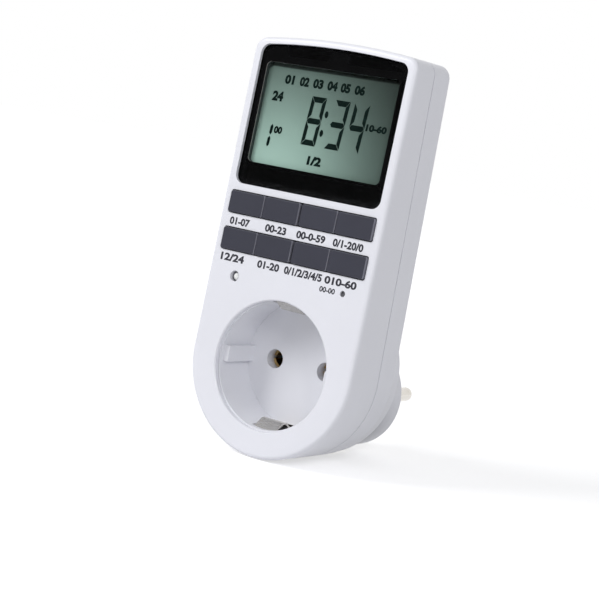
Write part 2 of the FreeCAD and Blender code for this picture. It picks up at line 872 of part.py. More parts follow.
def lcd_frame():
    """Tray that holds the glass against the window opening and stands on the control board."""
    half = inner_half - frame_clearance
    tray = block((-half, half), (front_glass_depth, board_depth), (frame_bottom, frame_top))
    pocket_half = glass_half_width + frame_clearance / 2
    heights = (glass_bottom - frame_clearance / 2, glass_top + frame_clearance / 2)
    pocket = block((-pocket_half, pocket_half), (front_glass_depth, frame_plate_depth), heights)
    back_half = pocket_half - frame_plate
    middle = frame_plate_depth + frame_plate
    back_heights = (frame_bottom + frame_plate, frame_top - frame_plate)
    back = block((-back_half, back_half), (middle, board_depth), back_heights)
    slot = zebra_block(frame_clearance / 4, (front_glass_depth, board_depth))
    return to_face(cut_all(tray, [pocket, back, slot]))


def zebra_block(grow, depths):
    low = glass_bottom + frame_clearance / 2
    half = zebra_half_length + grow
    return block((-half, half), depths, (low - grow, low + zebra_width + grow))


def zebra_strip():
    return to_face(zebra_block(0, (rear_glass_depth, board_depth)))


# Keys

def key(span, v):
    """One rubber key: cap, retaining flange, plunger and bell-shaped spring skirt."""
    heights = (v - key_height / 2, v + key_height / 2)
    flange_top = face_wall + key_flange_gap
    flange_end = flange_top + key_flange_thickness
    cap = rounded_block(span, (-key_proud, flange_end), heights, key_corner_radius)
    cap = cap.makeFillet(key_edge_radius, edges_at_depth(cap, -key_proud))
    over = key_clearance + key_flange_overhang
    flange = block(span, (flange_top, flange_end), (heights[0] - over, heights[1] + over))
    middle = (span[0] + span[1]) / 2
    bell_end = board_depth - key_travel - key_floor_gap
    bell_wall_end = bell_end - key_bell_wall
    bell_start = (flange_end + bell_wall_end) / 2
    inner = key_plunger_radius - key_bell_wall
    root = (flange_top + flange_end) / 2
    profile = [
        (0, root),
        (key_plunger_radius, root),
        (key_plunger_radius, bell_start),
        (key_bell_radius, bell_wall_end),
        (key_bell_radius, bell_end),
        (key_bell_radius - key_bell_wall, bell_end),
        (inner, bell_start + key_bell_wall),
        (inner, bell_end),
        (0, bell_end),
    ]
    ring = [point(r, y, 0) for r, y in profile]
    stem = Part.Face(Part.makePolygon(ring + ring[:1])).revolve(point(0, 0, 0), point(0, 1, 0), 360)
    stem.translate(point(middle, 0, v))
    return to_face(joined(cap, [flange, stem]))


def keypad_mat():
    """Rubber sheet around the keys' skirts, flat on the control board."""
    rows = [v for _, v in key_rows]
    window = key_bell_radius + mat_clearance
    half = inner_half - board_clearance
    heights = (min(rows) - window - mat_border, max(rows) + window + mat_border)
    depths = (board_depth - mat_thickness, board_depth)
    sheet = rounded_block((-half, half), depths, heights, key_corner_radius)
    cuts = boss_clearances(depths, case_boss_radius + mat_clearance)
    for v in rows:
        for left, right in key_spans():
            cuts.append(rod(window, depths, (left + right) / 2, v))
    return to_face(cut_all(sheet, cuts))


def boss_clearances(depths, radius):
    """Round holes in face coordinates where the case's screw bosses pass."""
    middle = sum(depths) / 2
    return [rod(radius, depths, x, face_v(z, middle)) for x, z in case_screw_places]


# Lamp, reset button and control board

def status_led():
    u, v = led_place
    shoulder = led_tip_depth + led_radius
    end = led_tip_depth + led_length
    body = rod(led_radius, (shoulder, end), u, v)
    dome = Part.makeSphere(led_radius, point(u, shoulder, v))
    flange_y = end - led_flange_thickness
    flange = rod(led_flange_radius, (flange_y, end), u, v)
    legs = [rod(led_leg_radius, (flange_y, board_depth), u + side * led_radius / 2, v) for side in (-1, 1)]
    return to_face(joined(body, [dome, flange] + legs))


def reset_switch():
    u, v = reset_place
    half = switch_width / 2
    top = board_depth - switch_height
    body = rounded_block((u - half, u + half), (top, board_depth), (v - half, v + half), key_corner_radius)
    well = rod(reset_foot_radius + reset_clearance, (top, top + switch_well_depth), u, v)
    return to_face(body.cut(well))


def reset_button():
    """Thin pin pressed through the face, on a wider foot inside the switch."""
    u, v = reset_place
    foot_top = face_wall + reset_guide_length + reset_clearance
    foot_end = board_depth - switch_height + switch_well_depth - reset_travel - key_floor_gap
    shaft = rod(reset_radius, (reset_tip_depth, foot_end), u, v)
    foot = rod(reset_foot_radius, (foot_top, foot_end), u, v)
    return to_face(joined(shaft, [foot]))


def control_board():
    half = inner_half - board_clearance
    depths = (board_depth, board_back)
    crown = case_crown_radius - wall - board_clearance
    board = prism(crowned_panel(half, board_bottom, board_top, crown, board_corner_radius), depths)
    cuts = boss_clearances(depths, case_boss_radius + mat_clearance)
    for u, v in board_screw_places:
        cuts.append(rod(board_screw_radius + shank_clearance, depths, u, v))
    return to_face(cut_all(board, cuts))


def controller_chip():
    """Blob of potting over the controller."""
    u, v = chip_place
    blob = rod(chip_radius, (board_back, board_back + chip_height), u, v)
    return to_face(blob.makeFillet(chip_edge_radius, edges_at_depth(blob, board_back + chip_height)))


def clock_crystal():
    u, v = crystal_place
    can = Part.makeCylinder(
        crystal_radius, crystal_length, point(u, board_back + crystal_radius, v), point(1, 0, 0)
    )
    return to_face(can)


# Power board and its parts

def power_board():
    half = power_board_half_width
    depths = (power_front_y, power_front_y + power_board_thickness)
    board = rounded_block((-half, half), depths, (power_board_bottom, power_board_top), power_board_corner)
    cuts = [rod(case_boss_radius + mat_clearance, depths, x, z) for x, z in case_screw_places]
    for x, z in power_screw_places:
        cuts.append(rod(power_screw_radius + shank_clearance, depths, x, z))
    return cut_all(board, cuts)


def boxed_part(corner, size):
    """A moulded part that stands on the power board."""
    x, z = corner
    width, height, length = size
    solid = block((x, x + width), (power_front_y - height, power_front_y), (z, z + length))
    rounded = edges_along_y(solid) + edges_at_depth(solid, power_front_y - height)
    return solid.makeFillet(boxed_edge_radius, rounded)


def smoothing_capacitor():
    x, z = smoothing_place
    start = point(x - smoothing_length / 2, power_front_y - smoothing_radius, z)
    can = Part.makeCylinder(smoothing_radius, smoothing_length, start, point(1, 0, 0))
    ends = [e for e in can.Edges if e.BoundBox.XLength < tight]
    return can.makeFillet(smoothing_edge_radius, ends)


def varistor():
    x, z = varistor_place
    front = power_front_y - varistor_thickness
    disc = rod(varistor_radius, (front, power_front_y), x, z)
    return disc.makeFillet(varistor_edge_radius, edges_at_depth(disc, front))


def axial_part(place, radius, length, upright):
    """A round part with a bent wire at each end, lying on the power board."""
    x, z = place
    y = power_front_y - radius
    far = length / 2 + wire_reach
    body = Part.makeCylinder(radius, length, point(-length / 2, 0, 0), point(1, 0, 0))
    through = Part.makeCylinder(wire_radius, 2 * far, point(-far, 0, 0), point(1, 0, 0))
    drops = [rod(wire_radius, (0, radius), side * far) for side in (-1, 1)]
    knuckles = [Part.makeSphere(wire_radius, point(side * far, 0, 0)) for side in (-1, 1)]
    solid = joined(body, [through] + drops + knuckles)
    if upright:
        solid.rotate(point(0, 0, 0), point(0, 1, 0), 90)
    solid.translate(point(x, y, z))
    return solid


def rectifier_diodes():
    x, z = diode_place
    places = [(x + n * diode_pitch, z) for n in range(diode_count)]
    made = [axial_part(place, diode_radius, diode_length, True) for place in places]
    return Part.makeCompound(made)


def board_header():
    """Row of pins between the two boards."""
    x, z = header_place
    half = header_pins * header_pitch / 2
    heights = (z - header_pitch / 2, z + header_pitch / 2)
    solid = block((x - half, x + half), (power_front_y - header_base, power_front_y), heights)
    end = behind_face(z, board_back) + header_pin_gap
    pins = []
    for n in range(header_pins):
        place = x - half + (n + 0.5) * header_pitch
        pins.append(rod(header_pin_radius, (end, power_front_y), place, z))
    return joined(solid, pins)


def backup_cell():
    x, z = cell_place
    front = power_front_y - cell_height
    cell = rod(cell_radius, (front, power_front_y), x, z)
    return cell.makeFillet(cell_edge_radius, edges_at_depth(cell, front))


# Screws

def screws(seats, radius, head_radius, head_height, length, way):
    """Plain screws: each head on its seat (x, y, z), each shank running along way from it."""
    made = []
    for x, y, z in seats:
        head = sorted((y, y - way * head_height))
        shank = sorted((y - way * head_height / 2, y + way * length))
        made.append(joined(rod(head_radius, head, x, z), [rod(radius, shank, x, z)]))
    return Part.makeCompound(made)


def case_screws():
    seat = back_y - case_screw_recess
    seats = [(x, seat, z) for x, z in case_screw_places]
    length = seat - seam_y + case_screw_bite
    return screws(seats, case_screw_radius, case_screw_head_radius, case_screw_head_height, length, -1)


def socket_screws():
    seats = [(x, ear_y, z) for x, z in ear_places()]
    length = ear_thickness + socket_screw_bite
    return screws(seats, socket_screw_radius, socket_screw_head_radius, socket_screw_head_height, length, -1)


def board_screws():
    seats = [(u, board_back, v) for u, v in board_screw_places]
    length = board_thickness + board_screw_bite
    made = screws(seats, board_screw_radius, board_screw_head_radius, board_screw_head_height, length, -1)
    return to_face(made)


def power_board_screws():
    seats = [(x, power_front_y, z) for x, z in power_screw_places]
    length = power_board_thickness + power_screw_bite
    return screws(seats, power_screw_radius, power_screw_head_radius, power_screw_head_height, length, 1)


def pieces():
    yield "front_shell", front_shell()
    yield "rear_shell", rear_shell()
    yield "plug_body", plug_body()
    yield "socket_insert", socket_insert()
    yield "live_pin", contact_pin(pin_x)
    yield "neutral_pin", contact_pin(-pin_x)
    yield "live_receptacle", receptacle(pin_x)
    yield "neutral_receptacle", receptacle(-pin_x)
    yield "neutral_link", neutral_link()
    yield "socket_earth_bracket", socket_earth_bracket()
    yield "plug_earth_bracket", plug_earth_bracket()
    yield "earth_link", earth_link()
    yield "live_lead", live_lead()
    yield "switched_lead", receptacle_lead(pin_x)
    yield "neutral_lead", receptacle_lead(-pin_x)
    yield "window_lens", window_lens()
    yield "display_bezel", display_bezel()
    yield "lcd_front_glass", glass_sheet(glass_bottom, front_glass_depth, glass_thickness)
    yield "lcd_rear_glass", glass_sheet(glass_bottom + glass_ledge, rear_glass_depth, glass_thickness)
    yield "lcd_reflector", glass_sheet(glass_bottom + glass_ledge, reflector_depth, reflector_thickness)
    yield "lcd_frame", lcd_frame()
    yield "zebra_strip", zebra_strip()
    yield "keypad_mat", keypad_mat()
    for row, v in key_rows:
        for n, span in enumerate(key_spans(), 1):
            yield f"key_{row}_{n}", key(span, v)
    yield "status_led", status_led()
    yield "reset_button", reset_button()
    yield "reset_switch", reset_switch()
    yield "control_board", control_board()
    yield "controller_chip", controller_chip()
    yield "clock_crystal", clock_crystal()
    yield "power_board", power_board()
    yield "relay", boxed_part(relay_corner, relay_size)
    yield "film_capacitor", boxed_part(film_capacitor_corner, film_capacitor_size)
    yield "smoothing_capacitor", smoothing_capacitor()
    yield "varistor", varistor()
    yield "fuse", axial_part(fuse_place, fuse_radius, fuse_length, False)
    yield "dropper_resistor", axial_part(resistor_place, resistor_radius, resistor_length, False)
    yield "rectifier_diodes", rectifier_diodes()
    yield "board_header", board_header()
    yield "backup_cell", backup_cell()
    yield "case_screws", case_screws()
    yield "socket_screws", socket_screws()
    yield "board_screws", board_screws()
    yield "power_board_screws", power_board_screws()


os.makedirs("parts", exist_ok=True)
for name, shape in pieces():
    shape.exportStep(os.path.join("parts", name + ".step"))
    print(name, "solids", len(shape.Solids), "valid", shape.isValid(), "volume", round(shape.Volume, 1))
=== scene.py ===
import json
import math

import bpy
from mathutils import Matrix, Vector


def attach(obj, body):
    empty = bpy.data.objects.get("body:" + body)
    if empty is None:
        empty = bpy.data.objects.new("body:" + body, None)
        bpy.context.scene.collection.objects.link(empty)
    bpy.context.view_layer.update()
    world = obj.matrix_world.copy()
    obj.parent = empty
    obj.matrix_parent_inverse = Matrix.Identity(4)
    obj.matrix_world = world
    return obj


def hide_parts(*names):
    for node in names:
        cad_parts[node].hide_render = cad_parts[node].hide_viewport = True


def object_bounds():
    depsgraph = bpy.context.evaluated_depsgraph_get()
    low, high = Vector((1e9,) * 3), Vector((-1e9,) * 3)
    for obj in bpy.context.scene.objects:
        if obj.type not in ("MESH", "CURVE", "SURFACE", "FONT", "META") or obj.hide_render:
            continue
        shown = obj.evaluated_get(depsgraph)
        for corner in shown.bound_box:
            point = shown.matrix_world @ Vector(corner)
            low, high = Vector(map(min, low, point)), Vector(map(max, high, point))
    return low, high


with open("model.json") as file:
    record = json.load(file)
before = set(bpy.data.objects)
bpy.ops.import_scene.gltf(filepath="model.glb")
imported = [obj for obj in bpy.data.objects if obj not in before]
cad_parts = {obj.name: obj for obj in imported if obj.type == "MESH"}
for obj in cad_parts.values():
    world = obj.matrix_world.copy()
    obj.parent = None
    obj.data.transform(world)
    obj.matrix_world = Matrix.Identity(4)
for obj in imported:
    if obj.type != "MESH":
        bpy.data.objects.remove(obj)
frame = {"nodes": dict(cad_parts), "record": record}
cad_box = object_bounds()
nodes = frame["nodes"]

# Sizes of the timer are in millimetres. Face coordinates are u across, v up the face from the
# socket's axis, and depth inwards from the tilted face.
MM = 0.001
FACE_TILT = math.radians(3.19)
FACE_Y = -54.8
SOCKET_RISE = 9.0
FACE = (
    Matrix.Translation(Vector((0, FACE_Y, SOCKET_RISE)) * MM)
    @ Matrix.Rotation(-FACE_TILT, 4, "X")
)
# A flat drawing's X runs along u, its Y along v and its Z outwards.
FLAT_TO_FACE = Matrix(((1, 0, 0, 0), (0, 0, -1, 0), (0, 1, 0, 0), (0, 0, 0, 1)))

# Numbers made of bars on the display: number, left edge u, bottom v, width, height, bar width.
BAR_NUMBERS = (
    ("8", -7.0, 68.0, 5.25, 15.0, 1.2),
    ("3", 1.5, 68.0, 5.25, 15.0, 1.2),
    ("4", 8.4, 68.0, 5.25, 15.0, 1.2),
    ("1", -21.0, 65.3, 2.6, 7.5, 1.0),
)
BARS_LIT = {"1": "bc", "3": "abcdg", "4": "bcfg", "8": "abcdefg"}
BAR_LEAN = 0.06
BAR_STRETCH = 1.45
BAR_GAP = 0.11
BAR_MITRE = 0.98
SEGMENT_DEPTH = 2.62
SEGMENT_THICKNESS = 0.03

# The colon between the hours and the minutes: u and v of its two dots.
COLON_DOTS = ((0.1, 78.1), (-0.4, 72.3))
COLON_RADIUS = 0.62
COLON_STRETCH = 1.75

# Small marks on the display: text, left edge u, bottom v, width, height.
SMALL_MARKS = (
    ("01", -17.3, 85.4, 3.4, 2.9),
    ("02", -11.8, 85.4, 3.4, 2.9),
    ("03", -6.9, 85.4, 3.6, 2.9),
    ("04", -1.7, 85.4, 3.6, 2.9),
    ("05", 3.1, 85.4, 3.4, 2.9),
    ("06", 8.1, 85.4, 3.6, 2.9),
    ("24", -20.7, 79.8, 4.0, 3.1),
    ("00", -17.6, 69.9, 3.0, 2.3),
    ("10-60", 14.6, 75.2, 7.2, 2.2),
    ("1/2", -3.4, 62.2, 5.0, 2.8),
)
SMALL_MARK_BOLD = 0.055
SMALL_MARK_LEAN = 0.04

# Labels under the keys and beside the reset hole: text, middle u, bottom v, width.
KEY_LABELS = (
    ("01-07", -21.25, 39.8, 7.5),
    ("00-23", -7.7, 39.8, 7.8),
    ("00-0-59", 5.2, 39.8, 10.4),
    ("0/1-20/0", 18.55, 39.8, 10.7),
    ("12/24", -21.2, 28.5, 8.8),
    ("01-20", -7.65, 28.5, 8.1),
    ("0/1/2/3/4/5", 5.15, 28.5, 13.7),
    ("010-60", 18.65, 28.5, 11.3),
)
KEY_LABEL_HEIGHT = 2.4
KEY_LABEL_BOLD = 0.04
RESET_LABEL = ("00-00", 14.65, 25.8, 5.5)
RESET_LABEL_HEIGHT = 1.7
RESET_LABEL_BOLD = 0.03
LABEL_THICKNESS = 0.02

# Light painted on the display. Its logarithm falls with the place across and up and with their
# squares, both counted from the middle in half sizes. Above the lit part, which has round
# corners, is a dark rim of painted shade.
DISPLAY_MIDDLE = 75.0
DISPLAY_HALF = (24.0, 15.0)
DISPLAY_BRIGHTNESS = -1.27
DISPLAY_FALL = (-0.79, -0.601, -0.56, -0.186)
DISPLAY_LIT_TOP = 90.25
DISPLAY_CORNER = 2.0
DISPLAY_BLUR = 0.35
DISPLAY_SHADED_RIM_LEVEL = 0.22
DISPLAY_TINT = (0.7, 1.0, 0.87)

# Depth and width of the painted highlight, a pale line, on the left wall of the display's
# opening.
OPENING_FRONT = 1.0
OPENING_HIGHLIGHT_WIDTH = 0.4

# Where the shade at the root of the plug is full and where it has faded, along Y and along Z.
ROOT_SHADE_DEPTHS = (-14.0, -3.0)
ROOT_SHADE_HEIGHTS = (-10.0, 5.0)

# Screws of the case: x, z and the turn of the cross in degrees. The seat is the y under their
# heads.
CASE_SCREWS = ((-23.4, 6.4, 17), (23.4, 6.4, 48), (-22.8, 62.1, 79), (22.8, 62.1, 110))
SCREW_SEAT = -30.0
SCREW_HEAD_RADIUS = 2.2
SCREW_HEAD_HEIGHT = 1.6
SCREW_HEAD_ROUNDING = 0.5
SCREW_SHANK_RADIUS = 1.2
SCREW_SHANK_LENGTH = 16.8
CROSS_SIZE = (2.5, 0.62, 1.7)
CROSS_TAPER = 0.45
SCREW_SMOOTHING = math.radians(35)

# The clear lamp, and inside it the mirror cup, whose middle is CUP_DROP under the centre of the
# lamp's dome, and the cup's post, whose middle is counted from that of the cup.
LAMP_PLACE = (-19.1, 24.35)
LAMP_TIP = 0.4
LAMP_RADIUS = 1.5
CUP_DROP = 0.9
CUP_HEIGHT = 0.9
CUP_FOOT_RADIUS = 0.45
CUP_MOUTH_RADIUS = 0.9
CUP_LIP = 0.12
CUP_SLOPE = 0.4
CUP_HOLLOW = 0.5
POST_RADIUS = 0.25
POST_LENGTH = 2.4
POST_MIDDLE = -1.55

# Pieces whose curved walls are smoothed, with their material slots.
CURVED_PIECES = (
    ("front_shell", "case_white"),
    ("rear_shell", "case_white"),
    ("plug_body", "plug_white"),
    ("socket_insert", "socket_white"),
    ("live_pin", "pin_nickel"),
    ("neutral_pin", "pin_nickel"),
)
CURVE_SMOOTHING = math.radians(28)

# Distances in metres under which corners count as one.
SAME_CORNER = 1e-6
SAME_LETTER_CORNER = 1e-5

# Relief of the materials, in metres.
FINE_RELIEF = 2e-6
DISPLAY_RELIEF = 1e-6
BOARD_RELIEF = 2e-5

# How strongly plastics show their edges, which are lightened for wear and as a painted
# highlight, and their wear, metals their stains and boards their threads.
EDGE_SHARE = 0.5
EDGE_GAIN = 1.06
EDGE_LIFT = 0.01
RUBBED_ROUGHNESS = -0.06
SCRATCHED_ROUGHNESS = 0.12
STAIN_SHARE = 0.45
THREAD_SHARE = 0.15

# The studio, in metres. The camera's place, axes and lens follow the photograph.
CAMERA_PLACE = (0.26244, -0.46136, 0.07798)
CAMERA_RIGHT = (0.82396, 0.53870, 0.17575)
CAMERA_DOWN = (0.20067, 0.01265, -0.97958)
CAMERA_FORWARD = (-0.52992, 0.84240, -0.09767)
CAMERA_LENS = 96.50
CAMERA_SENSOR = 36.0
CAMERA_CLIP = (0.01, 50)

# Studio lamps: name, place, side of the square, power.
STUDIO_LAMPS = (
    ("key_lamp", (-0.75, -1.05, 0.85), 0.7, 12.5),
    ("side_lamp", (1.0, -0.95, 0.75), 0.35, 5.5),
)
STUDIO_LAMP_AIM = (0, -0.04, 0.04)
AMBIENT_COLOUR = (0.97, 0.98, 1.0, 1)
AMBIENT_STRENGTH = 0.34

FLOOR_RADIUS = 8.0
FLOOR_GAP = 0.0002
FLOOR_GLOW_DISTANCES = (0.15, 0.9)
FLOOR_GLOW_STRENGTHS = (0.56, 0.8)

CARD_PLACE = (-0.20, -0.42, 0.13)
CARD_AIM = (0, -0.05, 0.085)
CARD_SIDE = 0.5


# Nodes

def feed(tree, socket, value):
    """Links a socket to another node's output, or gives it a plain value."""
    if hasattr(value, "links"):
        tree.links.new(value, socket)
    elif value is not None:
        socket.default_value = value


def math_node(tree, operation, first, second=None, clamp=False):
    """The result of one sum on plain numbers or other nodes' outputs."""
    node = tree.nodes.new("ShaderNodeMath")
    node.operation = operation
    node.use_clamp = clamp
    feed(tree, node.inputs[0], first)
    feed(tree, node.inputs[1], second)
    return node.outputs[0]


def squared(tree, value):
    """The square of a node's output."""
    return math_node(tree, "MULTIPLY", value, value)


def vector_node(tree, operation, first, second=None):
    """The outputs of one operation on vectors: "Vector" and "Value"."""
    node = tree.nodes.new("ShaderNodeVectorMath")
    node.operation = operation
    feed(tree, node.inputs[0], first)
    feed(tree, node.inputs[1], second)
    return node.outputs


def axes_of(tree, vector):
    """The parts of a vector: "X", "Y" and "Z"."""
    node = tree.nodes.new("ShaderNodeSeparateXYZ")
    feed(tree, node.inputs[0], vector)
    return node.outputs


def noise(tree, vector, scale, detail, roughness=0.55):
    """Soft random values around 0.5 over these coordinates."""
    node = tree.nodes.new("ShaderNodeTexNoise")
    for name, value in (
        ("Vector", vector), ("Scale", scale), ("Detail", detail), ("Roughness", roughness)
    ):
        feed(tree, node.inputs[name], value)
    return node.outputs["Fac"]


def spread(tree, value, source, target=(0.0, 1.0)):
    """A value stretched from one range to another and held inside it."""
    node = tree.nodes.new("ShaderNodeMapRange")
    feed(tree, node.inputs["Value"], value)
    for name, number in zip(("From Min", "From Max", "To Min", "To Max"), (*source, *target)):
        feed(tree, node.inputs[name], number)
    return node.outputs["Result"]


def blend_colour(tree, share, first, second, mode="MIX"):
    """A share of the second colour in the first; 6, 7 and 2 are a Mix node's colour sockets."""
    node = tree.nodes.new("ShaderNodeMix")
    node.data_type = "RGBA"
    node.blend_type = mode
    for index, value in ((0, share), (6, first), (7, second)):
        feed(tree, node.inputs[index], value)
    return node.outputs[2]


def grey(tree, level):
    """The neutral colour of a level."""
    node = tree.nodes.new("ShaderNodeCombineColor")
    for socket in node.inputs:
        feed(tree, socket, level)
    return node.outputs[0]


def blend_shaders(tree, share, first, second):
    """A share of the second shader in the first."""
    node = tree.nodes.new("ShaderNodeMixShader")
    for socket, value in zip(node.inputs, (share, first, second)):
        feed(tree, socket, value)
    return node.outputs[0]


# Node groups

def new_group(name, inputs, outputs):
    """An empty node group with these inputs (name, kind, value) and outputs (name, kind)."""
    group = bpy.data.node_groups.new(name, "ShaderNodeTree")
    for label, kind, value in inputs:
        socket = group.interface.new_socket(
            label, in_out="INPUT", socket_type="NodeSocket" + kind
        )
        if value is not None:
            socket.default_value = value
    for label, kind in outputs:
        group.interface.new_socket(label, in_out="OUTPUT", socket_type="NodeSocket" + kind)
    given = group.nodes.new("NodeGroupInput").outputs
    return group, given, group.nodes.new("NodeGroupOutput").inputs


def make_tone_drift():
    """Slow drift of tone across a surface."""
    group, given, out = new_group(
        "tone_drift",
        (
            ("Vector", "Vector", None),
            ("Colour", "Color", (1, 1, 1, 1)),
            ("Amount", "Float", 0.05),
            ("Scale", "Float", 60.0),
        ),
        (("Colour", "Color"),),
    )
    slow = noise(group, given["Vector"], given["Scale"], detail=4.0)
    drift = spread(group, slow, (0.3, 0.7), (-1.0, 1.0))
    gain = math_node(group, "ADD", math_node(group, "MULTIPLY", drift, given["Amount"]), 1.0)
    colour = blend_colour(group, 1.0, given["Colour"], grey(group, gain), "MULTIPLY")
    group.links.new(colour, out["Colour"])
    return group


def make_moulded_grain():
    """Fine spark-eroded grain of a mould, with a slower waviness under it."""
    group, given, out = new_group(
        "moulded_grain",
        (
            ("Vector", "Vector", None),
            ("Scale", "Float", 3000.0),
            ("Waves", "Float", 120.0),
            ("Wave share", "Float", 0.4),
        ),
        (("Height", "Float"),),
    )
    fine = noise(group, given["Vector"], given["Scale"], detail=2.0)
    waves = noise(group, given["Vector"], given["Waves"], detail=1.0)
    slow = math_node(group, "MULTIPLY", waves, given["Wave share"])
    group.links.new(math_node(group, "ADD", fine, slow), out["Height"])
    return group


def make_handling_marks():
    """Faint rubbed patches and hairline scratches, as masks."""
    group, given, out = new_group(
        "handling_marks",
        (
            ("Vector", "Vector", None),
            ("Patches", "Float", 90.0),
            ("Scratches", "Float", 260.0),
        ),
        (("Patches", "Float"), ("Scratches", "Float")),
    )
    cloud = noise(group, given["Vector"], given["Patches"], detail=5.0, roughness=0.65)
    patches = spread(group, cloud, (0.5, 0.75))
    group.links.new(patches, out["Patches"])
    turn = group.nodes.new("ShaderNodeMapping")
    turn.inputs["Rotation"].default_value = (0.4, 0.7, 0.9)
    turn.inputs["Scale"].default_value = (1.0, 14.0, 1.0)
    group.links.new(given["Vector"], turn.inputs["Vector"])
    hair = noise(group, turn.outputs["Vector"], given["Scratches"], detail=1.0)
    from_line = math_node(group, "ABSOLUTE", math_node(group, "SUBTRACT", hair, 0.5))
    lines = spread(group, from_line, (0.0, 0.006), (1.0, 0.0))
    group.links.new(math_node(group, "MULTIPLY", lines, patches), out["Scratches"])
    return group


def make_soft_edges():
    """Rounds a sharp edge in the shading and gives a mask of where the edges are."""
    group, given, out = new_group(
        "soft_edges",
        (("Radius", "Float", 0.0002),),
        (("Normal", "Vector"), ("Edges", "Float")),
    )
    bevel = group.nodes.new("ShaderNodeBevel")
    bevel.samples = 4
    group.links.new(given["Radius"], bevel.inputs["Radius"])
    flat = group.nodes.new("ShaderNodeNewGeometry").outputs["True Normal"]
    alike = vector_node(group, "DOT_PRODUCT", bevel.outputs["Normal"], flat)["Value"]
    group.links.new(bevel.outputs["Normal"], out["Normal"])
    group.links.new(spread(group, alike, (0.75, 0.98), (1.0, 0.0)), out["Edges"])
    return group


def make_brushed_metal():
    """Fine drawn or rolled streaks along one axis, and stains."""
    group, given, out = new_group(
        "brushed_metal",
        (
            ("Vector", "Vector", None),
            ("Scale", "Float", 900.0),
            ("Stretch", "Vector", (1.0, 0.04, 1.0)),
        ),
        (("Streaks", "Float"), ("Stains", "Float")),
    )
    stretched = vector_node(group, "MULTIPLY", given["Vector"], given["Stretch"])["Vector"]
    group.links.new(noise(group, stretched, given["Scale"], detail=3.0), out["Streaks"])
    stains = noise(group, given["Vector"], 180.0, detail=4.0, roughness=0.7)
    group.links.new(spread(group, stains, (0.52, 0.75)), out["Stains"])
    return group


def make_root_shade():
    """1 low on the plug beside the base, fading to 0 towards the plug's end and upwards."""
    group, given, out = new_group(
        "root_shade", (("Vector", "Vector", None),), (("Shade", "Float"),)
    )
    axes = axes_of(group, given["Vector"])
    near, far = (depth * MM for depth in ROOT_SHADE_DEPTHS)
    low, high = (height * MM for height in ROOT_SHADE_HEIGHTS)
    beside = spread(group, axes["Y"], (near, far), (1.0, 0.0))
    below = spread(group, axes["Z"], (low, high), (1.0, 0.0))
    group.links.new(math_node(group, "MULTIPLY", beside, below), out["Shade"])
    return group


def make_display_shade():
    """How much light is painted on the display: it falls off to the upper right, below a dark
    top rim of painted shade.
    """
    group, given, out = new_group(
        "display_shade", (("Vector", "Vector", None),), (("Level", "Float"),)
    )
    axes = axes_of(group, given["Vector"])
    half_width, half_height = (half * MM for half in DISPLAY_HALF)
    across = math_node(group, "DIVIDE", axes["X"], half_width)
    above_middle = math_node(group, "SUBTRACT", axes["Z"], (DISPLAY_MIDDLE + SOCKET_RISE) * MM)
    up = math_node(group, "DIVIDE", above_middle, half_height)
    brightness = DISPLAY_BRIGHTNESS
    places = (across, up, squared(group, across), squared(group, up))
    for place, fall in zip(places, DISPLAY_FALL):
        change = math_node(group, "MULTIPLY", place, fall)
        brightness = math_node(group, "ADD", change, brightness)
    corner = DISPLAY_CORNER * MM
    top = (DISPLAY_LIT_TOP - DISPLAY_MIDDLE) * MM
    from_centre = math_node(group, "ABSOLUTE", axes["X"])
    past_side = math_node(group, "SUBTRACT", from_centre, half_width - corner)
    past_top = math_node(group, "SUBTRACT", above_middle, top - corner)
    past = [math_node(group, "MAXIMUM", distance, 0.0) for distance in (past_side, past_top)]
    past_squared = math_node(group, "ADD", *(squared(group, distance) for distance in past))
    from_corner = math_node(group, "SQRT", past_squared)
    blurred = (corner - DISPLAY_BLUR * MM, corner)
    # The rim above the lit part is darkened with painted shade.
    lit = spread(group, from_corner, blurred, (1.0, DISPLAY_SHADED_RIM_LEVEL))
    level = math_node(group, "MULTIPLY", math_node(group, "EXPONENT", brightness), lit)
    group.links.new(level, out["Level"])
    return group


def make_opening_highlight():
    """Where a highlight is painted: 1 along the front edge of the display opening's left wall,
    fading to 0 further in.
    """
    group, given, out = new_group(
        "opening_highlight", (("Vector", "Vector", None),), (("Highlight", "Float"),)
    )
    inwards = FACE.to_3x3() @ Vector((0, 1, 0))
    depth = vector_node(group, "DOT_PRODUCT", given["Vector"], inwards)["Value"]
    front = inwards.dot(FACE.translation) + OPENING_FRONT * MM
    near = spread(group, depth, (front, front + OPENING_HIGHLIGHT_WIDTH * MM), (1.0, 0.0))
    left = math_node(group, "LESS_THAN", axes_of(group, given["Vector"])["X"], 0.0)
    group.links.new(math_node(group, "MULTIPLY", near, left), out["Highlight"])
    return group


TONE_DRIFT = make_tone_drift()
MOULDED_GRAIN = make_moulded_grain()
HANDLING_MARKS = make_handling_marks()
SOFT_EDGES = make_soft_edges()
BRUSHED_METAL = make_brushed_metal()
ROOT_SHADE = make_root_shade()
DISPLAY_SHADE = make_display_shade()
OPENING_HIGHLIGHT = make_opening_highlight()


# Materials

def placed(tree, group, vector=None, **values):
    """The outputs of a node group put into a material, with these values for its inputs."""
    node = tree.nodes.new("ShaderNodeGroup")
    node.node_tree = group
    if vector is not None:
        tree.links.new(vector, node.inputs["Vector"])
    for name, value in values.items():
        node.inputs[name].default_value = value
    return node.outputs


def blank_material(name):
    """A new material, its tree, its main shader and the place on the object."""
    material = bpy.data.materials.new(name)
    material.use_nodes = True
    tree = material.node_tree
    place = tree.nodes.new("ShaderNodeTexCoord").outputs["Object"]
    return material, tree, tree.nodes["Principled BSDF"], place


def looks_along(tree):
    """The parts of the direction that a surface looks in."""
    return axes_of(tree, tree.nodes.new("ShaderNodeTexCoord").outputs["Normal"])


